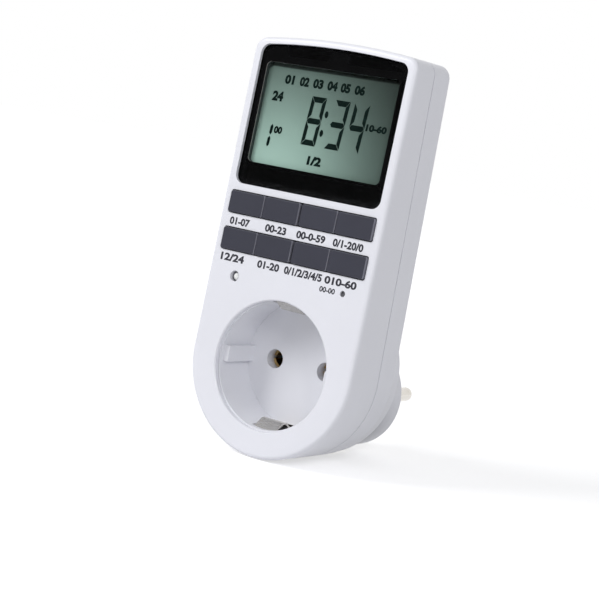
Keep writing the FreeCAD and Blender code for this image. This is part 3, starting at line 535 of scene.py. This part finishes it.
def bumped(tree, shader, height, distance, normal=None):
    """Gives a shader this relief, over an already softened normal if there is one."""
    bump = tree.nodes.new("ShaderNodeBump")
    bump.inputs["Distance"].default_value = distance
    tree.links.new(height, bump.inputs["Height"])
    if normal is not None:
        tree.links.new(normal, bump.inputs["Normal"])
    tree.links.new(bump.outputs["Normal"], shader.inputs["Normal"])


def moulded(
    name, colour, roughness, grain=3000.0, depth=4e-6, drift=0.02, edge=0.0002, edge_wear_and_highlight=None,
    specular=0.5, painted_right_highlight=None, root=None,
):
    """Moulded plastic or rubber: tone drift, mould grain, handling marks and softened edges, and
    painted light where it is asked for.

    The edge colour stands for wear and a painted highlight, the right-hand colour is a painted
    highlight on walls which look to the right, and the root colour is painted shade at the root
    of the plug."""
    material, tree, shader, place = blank_material(name)
    tone = placed(tree, TONE_DRIFT, place, Colour=(*colour, 1), Amount=drift, Scale=55.0)
    marks = placed(tree, HANDLING_MARKS, place)
    edges = placed(tree, SOFT_EDGES, Radius=edge)
    grains = placed(tree, MOULDED_GRAIN, place, Scale=grain)
    # The edges are lightened for wear and as a painted highlight.
    pale = edge_wear_and_highlight or tuple(min(1.0, part * EDGE_GAIN + EDGE_LIFT) for part in colour)
    share = math_node(tree, "MULTIPLY", edges["Edges"], EDGE_SHARE)
    base = blend_colour(tree, share, tone["Colour"], (*pale, 1))
    # Walls which look to the right get a lighter colour: a painted highlight.
    if painted_right_highlight:
        right = spread(tree, looks_along(tree)["X"], (0.1, 0.6))
        base = blend_colour(tree, right, base, (*painted_right_highlight, 1))
    if root:
        base = blend_colour(tree, placed(tree, ROOT_SHADE, place)["Shade"], base, (*root, 1))
    tree.links.new(base, shader.inputs["Base Color"])
    rubbed = math_node(tree, "MULTIPLY", marks["Patches"], RUBBED_ROUGHNESS)
    scratched = math_node(tree, "MULTIPLY", marks["Scratches"], SCRATCHED_ROUGHNESS)
    wear = math_node(tree, "ADD", rubbed, scratched)
    tree.links.new(math_node(tree, "ADD", wear, roughness), shader.inputs["Roughness"])
    shader.inputs["Specular IOR Level"].default_value = specular
    bumped(tree, shader, grains["Height"], depth, edges["Normal"])
    return material


def metal(name, colour, stained, roughness, stretch=(1.0, 0.04, 1.0)):
    """Drawn, rolled or plated metal, with streaks, faint stains and softened edges."""
    material, tree, shader, place = blank_material(name)
    finish = placed(tree, BRUSHED_METAL, place, Stretch=stretch)
    edges = placed(tree, SOFT_EDGES, Radius=0.00015)
    share = math_node(tree, "MULTIPLY", finish["Stains"], STAIN_SHARE)
    base = blend_colour(tree, share, (*colour, 1), (*stained, 1))
    tree.links.new(base, shader.inputs["Base Color"])
    rough = spread(tree, finish["Streaks"], (0.3, 0.7), roughness)
    tree.links.new(rough, shader.inputs["Roughness"])
    shader.inputs["Metallic"].default_value = 1.0
    bumped(tree, shader, finish["Streaks"], FINE_RELIEF, edges["Normal"])
    return material


def pane(name, ior, tint, smudge):
    """A thin clear sheet: light goes straight through, and its outer face alone mirrors.

    The back of its faces gets an IOR of 1, with which nothing mirrors."""
    material, tree, shader, place = blank_material(name)
    shader.inputs["Base Color"].default_value = (1, 1, 1, 1)
    shader.inputs["Metallic"].default_value = 1.0
    marks = placed(tree, HANDLING_MARKS, place, Patches=70.0, Scratches=120.0)
    rough = spread(tree, marks["Patches"], (0.0, 1.0), (0.02, 0.035))
    tree.links.new(rough, shader.inputs["Roughness"])
    inside = tree.nodes.new("ShaderNodeNewGeometry").outputs["Backfacing"]
    mirror = tree.nodes.new("ShaderNodeFresnel")
    feed(tree, mirror.inputs["IOR"], spread(tree, inside, (0.0, 1.0), (ior, 1.0)))
    dirt = math_node(tree, "MULTIPLY", marks["Patches"], smudge)
    share = math_node(tree, "ADD", mirror.outputs[0], dirt, clamp=True)
    clear = tree.nodes.new("ShaderNodeBsdfTransparent")
    clear.inputs["Color"].default_value = (*tint, 1)
    sheet = blend_shaders(tree, share, clear.outputs[0], shader.outputs[0])
    tree.links.new(sheet, tree.nodes["Material Output"].inputs["Surface"])
    return material


def display_face(name):
    """The grey-green face of the display, with painted light that is brightest at its lower
    left.
    """
    material, tree, shader, place = blank_material(name)
    grains = placed(tree, MOULDED_GRAIN, place, Scale=5200.0)["Height"]
    grain_range = (0.4, 1.0)
    speckle = spread(tree, grains, grain_range, (0.985, 1.015))
    level = placed(tree, DISPLAY_SHADE, place)["Level"]
    lit = grey(tree, math_node(tree, "MULTIPLY", level, speckle))
    base = blend_colour(tree, 1.0, (*DISPLAY_TINT, 1), lit, "MULTIPLY")
    tree.links.new(base, shader.inputs["Base Color"])
    tree.links.new(spread(tree, grains, grain_range, (0.5, 0.6)), shader.inputs["Roughness"])
    shader.inputs["Specular IOR Level"].default_value = 0.1
    bumped(tree, shader, grains, DISPLAY_RELIEF)
    return material


def black_window_print(name, colour, wall, wall_highlight):
    """Black print round the display; the walls of the opening behind it are a softer grey, with
    a painted highlight along the front edge of the left wall.
    """
    material, tree, shader, place = blank_material(name)
    facing = math_node(tree, "ABSOLUTE", looks_along(tree)["Y"])
    is_wall = spread(tree, facing, (0.3, 0.8), (1.0, 0.0))
    tone = placed(tree, TONE_DRIFT, place, Colour=(*colour, 1), Amount=0.15, Scale=80.0)
    # A painted highlight along the front edge of the opening's left wall.
    rim = placed(tree, OPENING_HIGHLIGHT, place)["Highlight"]
    wall_colour = blend_colour(tree, rim, (*wall, 1), (*wall_highlight, 1))
    base = blend_colour(tree, is_wall, tone["Colour"], wall_colour)
    tree.links.new(base, shader.inputs["Base Color"])
    marks = placed(tree, HANDLING_MARKS, place)
    rough = spread(tree, marks["Patches"], (0.0, 1.0), (0.5, 0.56))
    tree.links.new(rough, shader.inputs["Roughness"])
    shader.inputs["Specular IOR Level"].default_value = 0.03
    bumped(tree, shader, placed(tree, MOULDED_GRAIN, place)["Height"], FINE_RELIEF)
    return material


def laminate(name, colour, track):
    """Glass-cloth board: woven texture under lacquer, with paler copper tracks under it."""
    material, tree, shader, place = blank_material(name)
    weave = tree.nodes.new("ShaderNodeTexChecker")
    weave.inputs["Scale"].default_value = 1600.0
    tree.links.new(place, weave.inputs["Vector"])
    cells = tree.nodes.new("ShaderNodeTexVoronoi")
    cells.distance = "CHEBYCHEV"
    cells.feature = "DISTANCE_TO_EDGE"
    cells.inputs["Scale"].default_value = 210.0
    tree.links.new(place, cells.inputs["Vector"])
    tracks = spread(tree, cells.outputs["Distance"], (0.08, 0.1), (1.0, 0.0))
    tone = placed(tree, TONE_DRIFT, place, Colour=(*colour, 1), Amount=0.08, Scale=70.0)
    base = blend_colour(tree, tracks, tone["Colour"], (*track, 1))
    tree.links.new(base, shader.inputs["Base Color"])
    rough = spread(tree, weave.outputs["Fac"], (0.0, 1.0), (0.32, 0.42))
    tree.links.new(rough, shader.inputs["Roughness"])
    threads = math_node(tree, "MULTIPLY", weave.outputs["Fac"], THREAD_SHARE)
    bumped(tree, shader, math_node(tree, "ADD", tracks, threads), BOARD_RELIEF)
    return material


def clear_lamp(name, middle, rim):
    """Clear epoxy with painted light and shade: a milky painted highlight where the dome faces
    the viewer, and painted shade towards its rim.
    """
    material, tree, shader, place = blank_material(name)
    tone = placed(tree, TONE_DRIFT, place, Colour=(*middle, 1), Amount=0.03, Scale=900.0)
    facing = tree.nodes.new("ShaderNodeLayerWeight")
    facing.inputs["Blend"].default_value = 0.5
    # Painted shade towards the rim of the dome, where it turns away from the viewer.
    painted_shade_share = spread(tree, facing.outputs["Facing"], (0.25, 0.5))
    base = blend_colour(tree, painted_shade_share, tone["Colour"], (*rim, 1))
    tree.links.new(base, shader.inputs["Base Color"])
    grains = placed(tree, MOULDED_GRAIN, place, Scale=2500.0)["Height"]
    tree.links.new(spread(tree, grains, (0.3, 1.1), (0.08, 0.2)), shader.inputs["Roughness"])
    bumped(tree, shader, grains, FINE_RELIEF)
    return material


def printed_ink(name, colour, specular):
    """Matt ink with a slightly uneven film."""
    material, tree, shader, place = blank_material(name)
    tone = placed(tree, TONE_DRIFT, place, Colour=(*colour, 1), Amount=0.25, Scale=700.0)
    tree.links.new(tone["Colour"], shader.inputs["Base Color"])
    grains = placed(tree, MOULDED_GRAIN, place, Scale=4200.0)["Height"]
    tree.links.new(spread(tree, grains, (0.3, 1.1), (0.42, 0.6)), shader.inputs["Roughness"])
    shader.inputs["Specular IOR Level"].default_value = specular
    bumped(tree, shader, grains, FINE_RELIEF)
    return material


def studio_paper(name, colour, amount, scale, roughness):
    """Matt paper of the studio: its material, tree, shader and the place on it."""
    material, tree, shader, place = blank_material(name)
    tone = placed(tree, TONE_DRIFT, place, Colour=(*colour, 1), Amount=amount, Scale=scale)
    tree.links.new(tone["Colour"], shader.inputs["Base Color"])
    shader.inputs["Roughness"].default_value = roughness
    shader.inputs["Specular IOR Level"].default_value = 0.0
    return material, tree, shader, place


# The material of each slot.
MATERIALS = {
    # Its slightly paler edges stand for wear and a painted highlight.
    "case_white": moulded(
        "case_white_abs", (0.80, 0.805, 0.86), 0.36, drift=0.012, edge_wear_and_highlight=(0.83, 0.835, 0.88)
    ),
    "plug_white": moulded(
        "plug_white_abs", (0.79, 0.795, 0.85), 0.38, drift=0.015, root=(0.35, 0.35, 0.39)
    ),
    "socket_white": moulded("socket_white_abs", (0.79, 0.795, 0.84), 0.4, drift=0.015),
    "window_clear": pane("window_acrylic", 1.3, (0.985, 0.99, 0.99), 0.0008),
    # The last colour is a painted highlight on the left wall of the display's opening.
    "bezel_black": black_window_print(
        "window_black_print", (0.0024, 0.0024, 0.0027), (0.052, 0.066, 0.063), (0.52, 0.48, 0.47)
    ),
    "display_glass": display_face("display_grey_green"),
    "display_reflector": metal(
        "display_backing_foil", (0.6, 0.62, 0.6), (0.5, 0.52, 0.5), (0.3, 0.42)
    ),
    "frame_plastic": moulded("frame_white_plastic", (0.72, 0.72, 0.7), 0.5),
    "zebra_rubber": moulded("zebra_strip_rubber", (0.35, 0.28, 0.27), 0.75, depth=1e-5),
    # Its pale edges stand for wear and a painted highlight, and its lighter walls which look to
    # the right are a painted highlight.
    "key_rubber": moulded(
        "key_slate_rubber", (0.035, 0.036, 0.053), 0.5, grain=2400.0, depth=7e-6, drift=0.06,
        edge=0.0003, edge_wear_and_highlight=(0.16, 0.16, 0.19), specular=0.32, painted_right_highlight=(0.2, 0.2, 0.24),
    ),
    "mat_rubber": moulded("mat_grey_rubber", (0.11, 0.11, 0.13), 0.7, depth=1e-5),
    # The lamp's milky middle is a painted highlight and its dark rim painted shade.
    "lamp_clear": clear_lamp("lamp_clear_epoxy", (0.86, 0.87, 0.86), (0.05, 0.05, 0.055)),
    "button_plastic": moulded("reset_grey_plastic", (0.09, 0.09, 0.1), 0.45),
    "switch_plastic": moulded("switch_black_plastic", (0.02, 0.02, 0.02), 0.45),
    "board_laminate": laminate("board_green_lacquer", (0.02, 0.12, 0.05), (0.05, 0.2, 0.08)),
    "potting_black": moulded(
        "potting_black_epoxy", (0.012, 0.012, 0.013), 0.3, grain=900.0, depth=2e-5
    ),
    "can_metal": metal("can_steel", (0.66, 0.66, 0.64), (0.45, 0.44, 0.4), (0.18, 0.32)),
    "relay_plastic": moulded("relay_black_case", (0.02, 0.02, 0.023), 0.4),
    "film_plastic": moulded("capacitor_yellow_case", (0.6, 0.42, 0.06), 0.4),
    "sleeve_plastic": moulded("capacitor_blue_sleeve", (0.015, 0.025, 0.08), 0.3),
    "varistor_coat": moulded(
        "varistor_blue_coat", (0.02, 0.11, 0.4), 0.3, grain=1200.0, depth=1e-5
    ),
    "fuse_coat": moulded("fuse_green_coat", (0.12, 0.26, 0.1), 0.35),
    "resistor_coat": moulded("resistor_blue_coat", (0.12, 0.28, 0.42), 0.4),
    "diode_plastic": moulded("diode_black_body", (0.015, 0.015, 0.015), 0.4),
    "header_plastic": moulded("header_black_plastic", (0.02, 0.02, 0.02), 0.5),
    "pin_nickel": metal("pin_nickel_plate", (0.72, 0.69, 0.64), (0.52, 0.47, 0.4), (0.1, 0.24)),
    "contact_brass": metal("contact_brass", (0.72, 0.53, 0.25), (0.5, 0.33, 0.14), (0.2, 0.36)),
    "earth_nickel": metal(
        "earth_strip_nickel", (0.68, 0.66, 0.61), (0.5, 0.46, 0.38), (0.18, 0.34),
        stretch=(0.05, 1.0, 1.0),
    ),
    "lead_brown": moulded("lead_brown_sleeve", (0.14, 0.05, 0.025), 0.45),
    "lead_black": moulded("lead_black_sleeve", (0.015, 0.015, 0.015), 0.45),
    "lead_blue": moulded("lead_blue_sleeve", (0.02, 0.08, 0.4), 0.45),
    "screw_steel": metal("screw_zinc_plate", (0.6, 0.6, 0.58), (0.38, 0.37, 0.33), (0.22, 0.42)),
}
LABEL_INK = printed_ink("label_black_ink", (0.026, 0.026, 0.036), specular=0.3)
DISPLAY_INK = printed_ink("display_dark_segments", (0.004, 0.012, 0.010), specular=0.03)


def coat(piece, material):
    """Makes this the only material of a piece."""
    piece.data.materials.clear()
    piece.data.materials.append(material)


for subpart in frame["record"]["subparts"]:
    coat(nodes[subpart["node"]], MATERIALS[subpart["material_slot"]])


# Modelling helpers

def deselect_all():
    """Leaves edit mode and drops the selection."""
    if bpy.context.mode != "OBJECT":
        bpy.ops.object.mode_set(mode="OBJECT")
    bpy.ops.object.select_all(action="DESELECT")


def select_only(pieces):
    """Selects these pieces alone and makes the first of them the active one."""
    deselect_all()
    for piece in pieces:
        piece.select_set(True)
    bpy.context.view_layer.objects.active = pieces[0]


def pick(piece, kind, chosen):
    """Opens a piece in edit mode with only the chosen edges ("EDGE") or faces ("FACE")."""
    select_only([piece])
    bpy.ops.object.mode_set(mode="EDIT")
    bpy.ops.mesh.select_mode(type=kind)
    bpy.ops.mesh.select_all(action="DESELECT")
    bpy.ops.object.mode_set(mode="OBJECT")
    for element in piece.data.edges if kind == "EDGE" else piece.data.polygons:
        element.select = chosen(element)
    bpy.ops.object.mode_set(mode="EDIT")


def placed_mesh(piece, matrix=Matrix.Identity(4)):
    """Puts a piece's place into its mesh and leaves its object at the origin."""
    piece.data.transform(matrix @ piece.matrix_basis)
    piece.matrix_basis = Matrix.Identity(4)
    return piece


def merged(pieces, name):
    """One piece made of several, with this name."""
    select_only(pieces)
    bpy.ops.object.join()
    whole = bpy.context.view_layer.objects.active
    whole.name = name
    whole.data.name = name
    return whole


def merge_corners(piece, distance, outwards=False):
    """Merges the corners that touch, and turns every face outwards if that is asked."""
    select_only([piece])
    bpy.ops.object.mode_set(mode="EDIT")
    bpy.ops.mesh.select_all(action="SELECT")
    bpy.ops.mesh.remove_doubles(threshold=distance)
    if outwards:
        bpy.ops.mesh.normals_make_consistent(inside=False)
    bpy.ops.object.mode_set(mode="OBJECT")


def own_copy(source):
    """A copy of an object with its own mesh."""
    copy = source.copy()
    copy.data = source.data.copy()
    bpy.context.collection.objects.link(copy)
    return copy


def finished(piece, material, body):
    """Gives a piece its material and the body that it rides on."""
    coat(piece, material)
    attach(piece, body)


def face_place(u, v, depth):
    """The matrix that puts a flat drawing at a place on the face, in millimetres."""
    return FACE @ Matrix.Translation(Vector((u, depth, v)) * MM) @ FLAT_TO_FACE


# Numbers and marks

def lettered(text, width, height, thickness, bold):
    """Plain numbers as a thin solid from the origin to its width and height, in millimetres."""
    deselect_all()
    bpy.ops.object.text_add()
    drawing = bpy.context.object.data
    drawing.body = text
    drawing.size = 1.0
    drawing.offset = bold
    drawing.resolution_u = 4
    drawing.extrude = 0.5
    bpy.ops.object.convert(target="MESH")
    piece = bpy.context.object
    merge_corners(piece, SAME_LETTER_CORNER, outwards=True)
    corners = [corner.co for corner in piece.data.vertices]
    low = Vector(min(corner[axis] for corner in corners) for axis in range(3))
    high = Vector(max(corner[axis] for corner in corners) for axis in range(3))
    wanted = Vector((width, height, thickness)) * MM
    factors = [wanted[axis] / (high - low)[axis] for axis in range(3)]
    return placed_mesh(piece, Matrix.Diagonal((*factors, 1)) @ Matrix.Translation(-low))


def segment(length, width, mitred):
    """One bar of a number along X, with ends cut at 45 degrees.

    The cut is on one side of the bar (1 or -1) or evenly on both (0)."""
    deselect_all()
    bpy.ops.mesh.primitive_cube_add(size=1.0)
    piece = bpy.context.object
    piece.scale = (length * MM, width * MM, SEGMENT_THICKNESS * MM)
    bpy.ops.object.transform_apply(location=False, rotation=False, scale=True)

    def is_cut(edge):
        first, second = (piece.data.vertices[i].co for i in edge.vertices)
        upright = abs(first.z - second.z) > SEGMENT_THICKNESS * MM / 2
        return upright and first.y * mitred >= 0

    pick(piece, "EDGE", is_cut)
    cut = width * BAR_MITRE / (1 if mitred else 2)
    bpy.ops.mesh.bevel(offset=cut * MM, offset_type="OFFSET", segments=1, affect="EDGES")
    bpy.ops.object.mode_set(mode="OBJECT")
    return piece


def seven_segments(number, width, height, bar):
    """The lit bars of one number from the origin to its width and height.

    They are mitred where they meet, and pointed evenly in a 1, which has no corners. The
    stretch upwards makes the level bars thicker than the upright ones."""
    tall = height / BAR_STRETCH
    across = width - 2 * BAR_GAP
    along = tall / 2 - 2 * BAR_GAP
    left, middle, right = bar / 2, width / 2, width - bar / 2
    bars = {
        "a": (middle, tall - bar / 2, 0, across, -1),
        "d": (middle, bar / 2, 0, across, 1),
        "g": (middle, tall / 2, 0, across, 0),
        "b": (right, tall * 0.75, 90, along, 1),
        "c": (right, tall * 0.25, 90, along, 1),
        "f": (left, tall * 0.75, 90, along, -1),
        "e": (left, tall * 0.25, 90, along, -1),
    }
    stretch = Matrix.Diagonal((1, BAR_STRETCH, 1, 1))
    made = []
    for letter in BARS_LIT[number]:
        x, y, degrees, length, mitred = bars[letter]
        if number == "1":
            mitred = 0
        turn = Matrix.Rotation(math.radians(degrees), 4, "Z")
        place = Matrix.Translation(Vector((x, y, 0)) * MM) @ turn
        made.append(placed_mesh(segment(length, bar, mitred), stretch @ place))
    return made


def leaning(piece, lean):
    """Slants a flat drawing to the right by this much of its height."""
    slant = Matrix.Identity(4)
    slant[0][1] = lean
    return placed_mesh(piece, slant)


def make_display_numbers():
    """The big time, its colon and the small program number."""
    made = []
    for number, u, v, width, height, bar in BAR_NUMBERS:
        for piece in seven_segments(number, width, height, bar):
            leaning(piece, BAR_LEAN)
            made.append(placed_mesh(piece, face_place(u, v, SEGMENT_DEPTH)))
    for u, v in COLON_DOTS:
        deselect_all()
        bpy.ops.mesh.primitive_cylinder_add(
            vertices=24, radius=COLON_RADIUS * MM, depth=SEGMENT_THICKNESS * MM
        )
        dot = bpy.context.object
        dot.scale.y = COLON_STRETCH
        made.append(placed_mesh(dot, face_place(u, v, SEGMENT_DEPTH)))
    finished(merged(made, "display_numbers"), DISPLAY_INK, "case")


def make_display_marks():
    """The small numbers above, beside and below the time."""
    made = []
    for text, u, v, width, height in SMALL_MARKS:
        mark = lettered(text, width, height, SEGMENT_THICKNESS, SMALL_MARK_BOLD)
        leaning(mark, SMALL_MARK_LEAN)
        made.append(placed_mesh(mark, face_place(u, v, SEGMENT_DEPTH)))
    finished(merged(made, "display_marks"), DISPLAY_INK, "case")


def make_key_labels():
    """The printed numbers under the keys and beside the reset hole."""
    rows = [(*label, KEY_LABEL_HEIGHT, KEY_LABEL_BOLD) for label in KEY_LABELS]
    rows.append((*RESET_LABEL, RESET_LABEL_HEIGHT, RESET_LABEL_BOLD))
    made = []
    for text, middle, v, width, height, bold in rows:
        label = lettered(text, width, height, LABEL_THICKNESS, bold)
        made.append(placed_mesh(label, face_place(middle - width / 2, v, 0)))
    finished(merged(made, "key_labels"), LABEL_INK, "case")


# Screws with a cross recess

def cut_cross(head, top):
    """Cuts a cross recess, which narrows inwards, into the top of a screw head."""
    for degrees in (0, 90):
        deselect_all()
        bpy.ops.mesh.primitive_cube_add(size=1.0, location=(0, 0, top))
        blade = bpy.context.object
        blade.scale = Vector(CROSS_SIZE) * MM
        bpy.ops.object.transform_apply(location=False, rotation=False, scale=True)
        pick(blade, "FACE", lambda face: face.normal.z < -0.9)
        bpy.ops.transform.resize(value=(CROSS_TAPER, 1.0, 1.0))
        bpy.ops.object.mode_set(mode="OBJECT")
        blade.rotation_euler.z = math.radians(degrees)
        bpy.context.view_layer.update()
        cut = head.modifiers.new("recess", "BOOLEAN")
        cut.operation = "DIFFERENCE"
        cut.solver = "EXACT"
        cut.object = blade
        select_only([head])
        bpy.ops.object.modifier_apply(modifier=cut.name)
        bpy.data.objects.remove(blade)


def cross_screw():
    """A pan-head screw along Z with its head up."""
    deselect_all()
    bpy.ops.mesh.primitive_cylinder_add(
        vertices=40, radius=SCREW_HEAD_RADIUS * MM, depth=SCREW_HEAD_HEIGHT * MM
    )
    head = bpy.context.object
    top = SCREW_HEAD_HEIGHT * MM / 2

    def on_top(edge):
        return all(abs(head.data.vertices[i].co.z - top) < SAME_CORNER for i in edge.vertices)

    pick(head, "EDGE", on_top)
    bpy.ops.mesh.bevel(
        offset=SCREW_HEAD_ROUNDING * MM, offset_type="OFFSET", segments=4, affect="EDGES"
    )
    bpy.ops.object.mode_set(mode="OBJECT")
    cut_cross(head, top)
    deselect_all()
    length = SCREW_SHANK_LENGTH * MM
    bpy.ops.mesh.primitive_cylinder_add(
        vertices=24, radius=SCREW_SHANK_RADIUS * MM, depth=length,
        location=(0, 0, -top - length / 2),
    )
    shank = placed_mesh(bpy.context.object)
    return merged([head, shank], "case_screw_pattern")


def make_case_screws():
    """The four screws of the case, with their heads at the back."""
    pattern = cross_screw()
    lay_down = Matrix.Rotation(math.radians(-90), 4, "X")
    made = []
    for x, z, degrees in CASE_SCREWS:
        turn = Matrix.Rotation(math.radians(degrees), 4, "Z")
        seat = Vector((x, SCREW_SEAT + SCREW_HEAD_HEIGHT / 2, z)) * MM
        place = Matrix.Translation(seat) @ lay_down @ turn
        made.append(placed_mesh(own_copy(pattern), place))
    bpy.data.objects.remove(pattern)
    screws = merged(made, "case_screw_heads")
    select_only([screws])
    bpy.ops.object.shade_smooth_by_angle(angle=SCREW_SMOOTHING)
    finished(screws, MATERIALS["screw_steel"], "case")
    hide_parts("case_screws")


# Inside of the lamp

def make_lamp_cup():
    """The small mirror cup and its post inside the clear lamp."""
    deselect_all()
    bpy.ops.mesh.primitive_cone_add(
        vertices=32, radius1=CUP_FOOT_RADIUS * MM, radius2=CUP_MOUTH_RADIUS * MM,
        depth=CUP_HEIGHT * MM,
    )
    cup = bpy.context.object
    pick(cup, "FACE", lambda face: face.normal.z > 0.9)
    bpy.ops.mesh.inset(thickness=CUP_LIP * MM)
    bpy.ops.mesh.inset(thickness=CUP_SLOPE * MM, depth=-CUP_HOLLOW * MM)
    bpy.ops.object.mode_set(mode="OBJECT")
    placed_mesh(cup)
    deselect_all()
    bpy.ops.mesh.primitive_cylinder_add(
        vertices=12, radius=POST_RADIUS * MM, depth=POST_LENGTH * MM,
        location=(0, 0, POST_MIDDLE * MM),
    )
    whole = merged([cup, placed_mesh(bpy.context.object)], "lamp_cup")
    placed_mesh(whole, face_place(*LAMP_PLACE, LAMP_TIP + LAMP_RADIUS + CUP_DROP))
    finished(whole, MATERIALS["can_metal"], "case")


# Smooth copies of the curved pieces

def smoothed(node, body, slot):
    """A merged copy of a piece, so that its curved walls shade as one surface."""
    copy = own_copy(nodes[node])
    copy.parent = None
    for key in list(copy.keys()):
        if key.startswith("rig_"):
            del copy[key]
    copy.name = node + "_moulding"
    copy.data.name = copy.name
    select_only([copy])
    bpy.ops.mesh.customdata_custom_splitnormals_clear()
    merge_corners(copy, SAME_CORNER)
    bpy.ops.object.shade_smooth_by_angle(angle=CURVE_SMOOTHING)
    finished(copy, MATERIALS[slot], body)
    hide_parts(node)


# Studio

def make_camera():
    """The camera that sees the timer as the photograph does."""
    data = bpy.data.cameras.new("camera")
    data.sensor_width = CAMERA_SENSOR
    data.lens = CAMERA_LENS
    data.clip_start, data.clip_end = CAMERA_CLIP
    camera = bpy.data.objects.new("camera", data)
    axes = (Vector(CAMERA_RIGHT), -Vector(CAMERA_DOWN), -Vector(CAMERA_FORWARD))
    turn = Matrix(axes).transposed().to_4x4()
    camera.matrix_world = Matrix.Translation(Vector(CAMERA_PLACE)) @ turn
    bpy.context.scene.collection.objects.link(camera)
    bpy.context.scene.camera = camera


def aim(thing, target, front):
    """Turns a thing so that its front axis points at a place."""
    thing.rotation_mode = "QUATERNION"
    thing.rotation_quaternion = (Vector(target) - thing.location).to_track_quat(front, "Y")


def add_lamp(name, place, side, power):
    """A square lamp that shines on the timer."""
    data = bpy.data.lights.new(name, "AREA")
    data.shape = "SQUARE"
    data.size = side
    data.energy = power
    lamp = bpy.data.objects.new(name, data)
    lamp.location = place
    aim(lamp, STUDIO_LAMP_AIM, "-Z")
    bpy.context.scene.collection.objects.link(lamp)


def seen_directly(tree):
    """1 for what the camera sees, straight, mirrored or through glass."""
    path = tree.nodes.new("ShaderNodeLightPath").outputs
    mirrored = math_node(tree, "MAXIMUM", path["Is Glossy Ray"], path["Is Transmission Ray"])
    return math_node(tree, "MAXIMUM", path["Is Camera Ray"], mirrored)


def make_world():
    """White where it is seen, and a softer light on everything else."""
    world = bpy.data.worlds.new("studio")
    bpy.context.scene.world = world
    world.use_nodes = True
    tree = world.node_tree
    shown = tree.nodes["Background"]
    shown.inputs["Color"].default_value = (1, 1, 1, 1)
    light = tree.nodes.new("ShaderNodeBackground")
    light.inputs["Color"].default_value = AMBIENT_COLOUR
    light.inputs["Strength"].default_value = AMBIENT_STRENGTH
    sky = blend_shaders(tree, seen_directly(tree), light.outputs[0], shown.outputs[0])
    tree.links.new(sky, tree.nodes["World Output"].inputs["Surface"])


def make_floor():
    """White paper under the timer, which glows where it is seen, more so far away."""
    deselect_all()
    low = cad_box[0].z - FLOOR_GAP
    bpy.ops.mesh.primitive_circle_add(
        vertices=64, radius=FLOOR_RADIUS, fill_type="NGON", location=(0, 0, low)
    )
    floor = bpy.context.object
    floor.name = "studio_floor"
    material, tree, shader, place = studio_paper(
        "studio_floor_paper", (0.82, 0.82, 0.83), amount=0.01, scale=3.0, roughness=0.9
    )
    glow = tree.nodes.new("ShaderNodeEmission")
    distance = vector_node(tree, "LENGTH", place)["Value"]
    strength = spread(tree, distance, FLOOR_GLOW_DISTANCES, FLOOR_GLOW_STRENGTHS)
    tree.links.new(strength, glow.inputs["Strength"])
    both = tree.nodes.new("ShaderNodeAddShader")
    tree.links.new(shader.outputs[0], both.inputs[0])
    tree.links.new(glow.outputs[0], both.inputs[1])
    paper = blend_shaders(tree, seen_directly(tree), shader.outputs[0], both.outputs[0])
    tree.links.new(paper, tree.nodes["Material Output"].inputs["Surface"])
    floor.data.materials.append(material)


def make_black_card():
    """A black card to the left of the camera, which shows only where a surface mirrors it."""
    deselect_all()
    bpy.ops.mesh.primitive_plane_add(size=1.0)
    card = bpy.context.object
    card.name = "studio_black_card"
    card.scale = (CARD_SIDE, CARD_SIDE, 1.0)
    card.location = CARD_PLACE
    aim(card, CARD_AIM, "Z")
    material, *_ = studio_paper(
        "studio_black_card", (0.004, 0.004, 0.004), amount=0.1, scale=9.0, roughness=1.0
    )
    card.data.materials.append(material)
    card.visible_camera = False
    card.visible_diffuse = False
    card.visible_shadow = False
    card.visible_transmission = False


make_camera()
make_world()
make_floor()
make_black_card()
for name, place, side, power in STUDIO_LAMPS:
    add_lamp(name, place, side, power)

for node, slot in CURVED_PIECES:
    smoothed(node, "case", slot)

make_display_numbers()
make_display_marks()
make_key_labels()
make_case_screws()
make_lamp_cup()

scene = bpy.context.scene
scene.view_settings.view_transform = "Standard"

deselect_all()
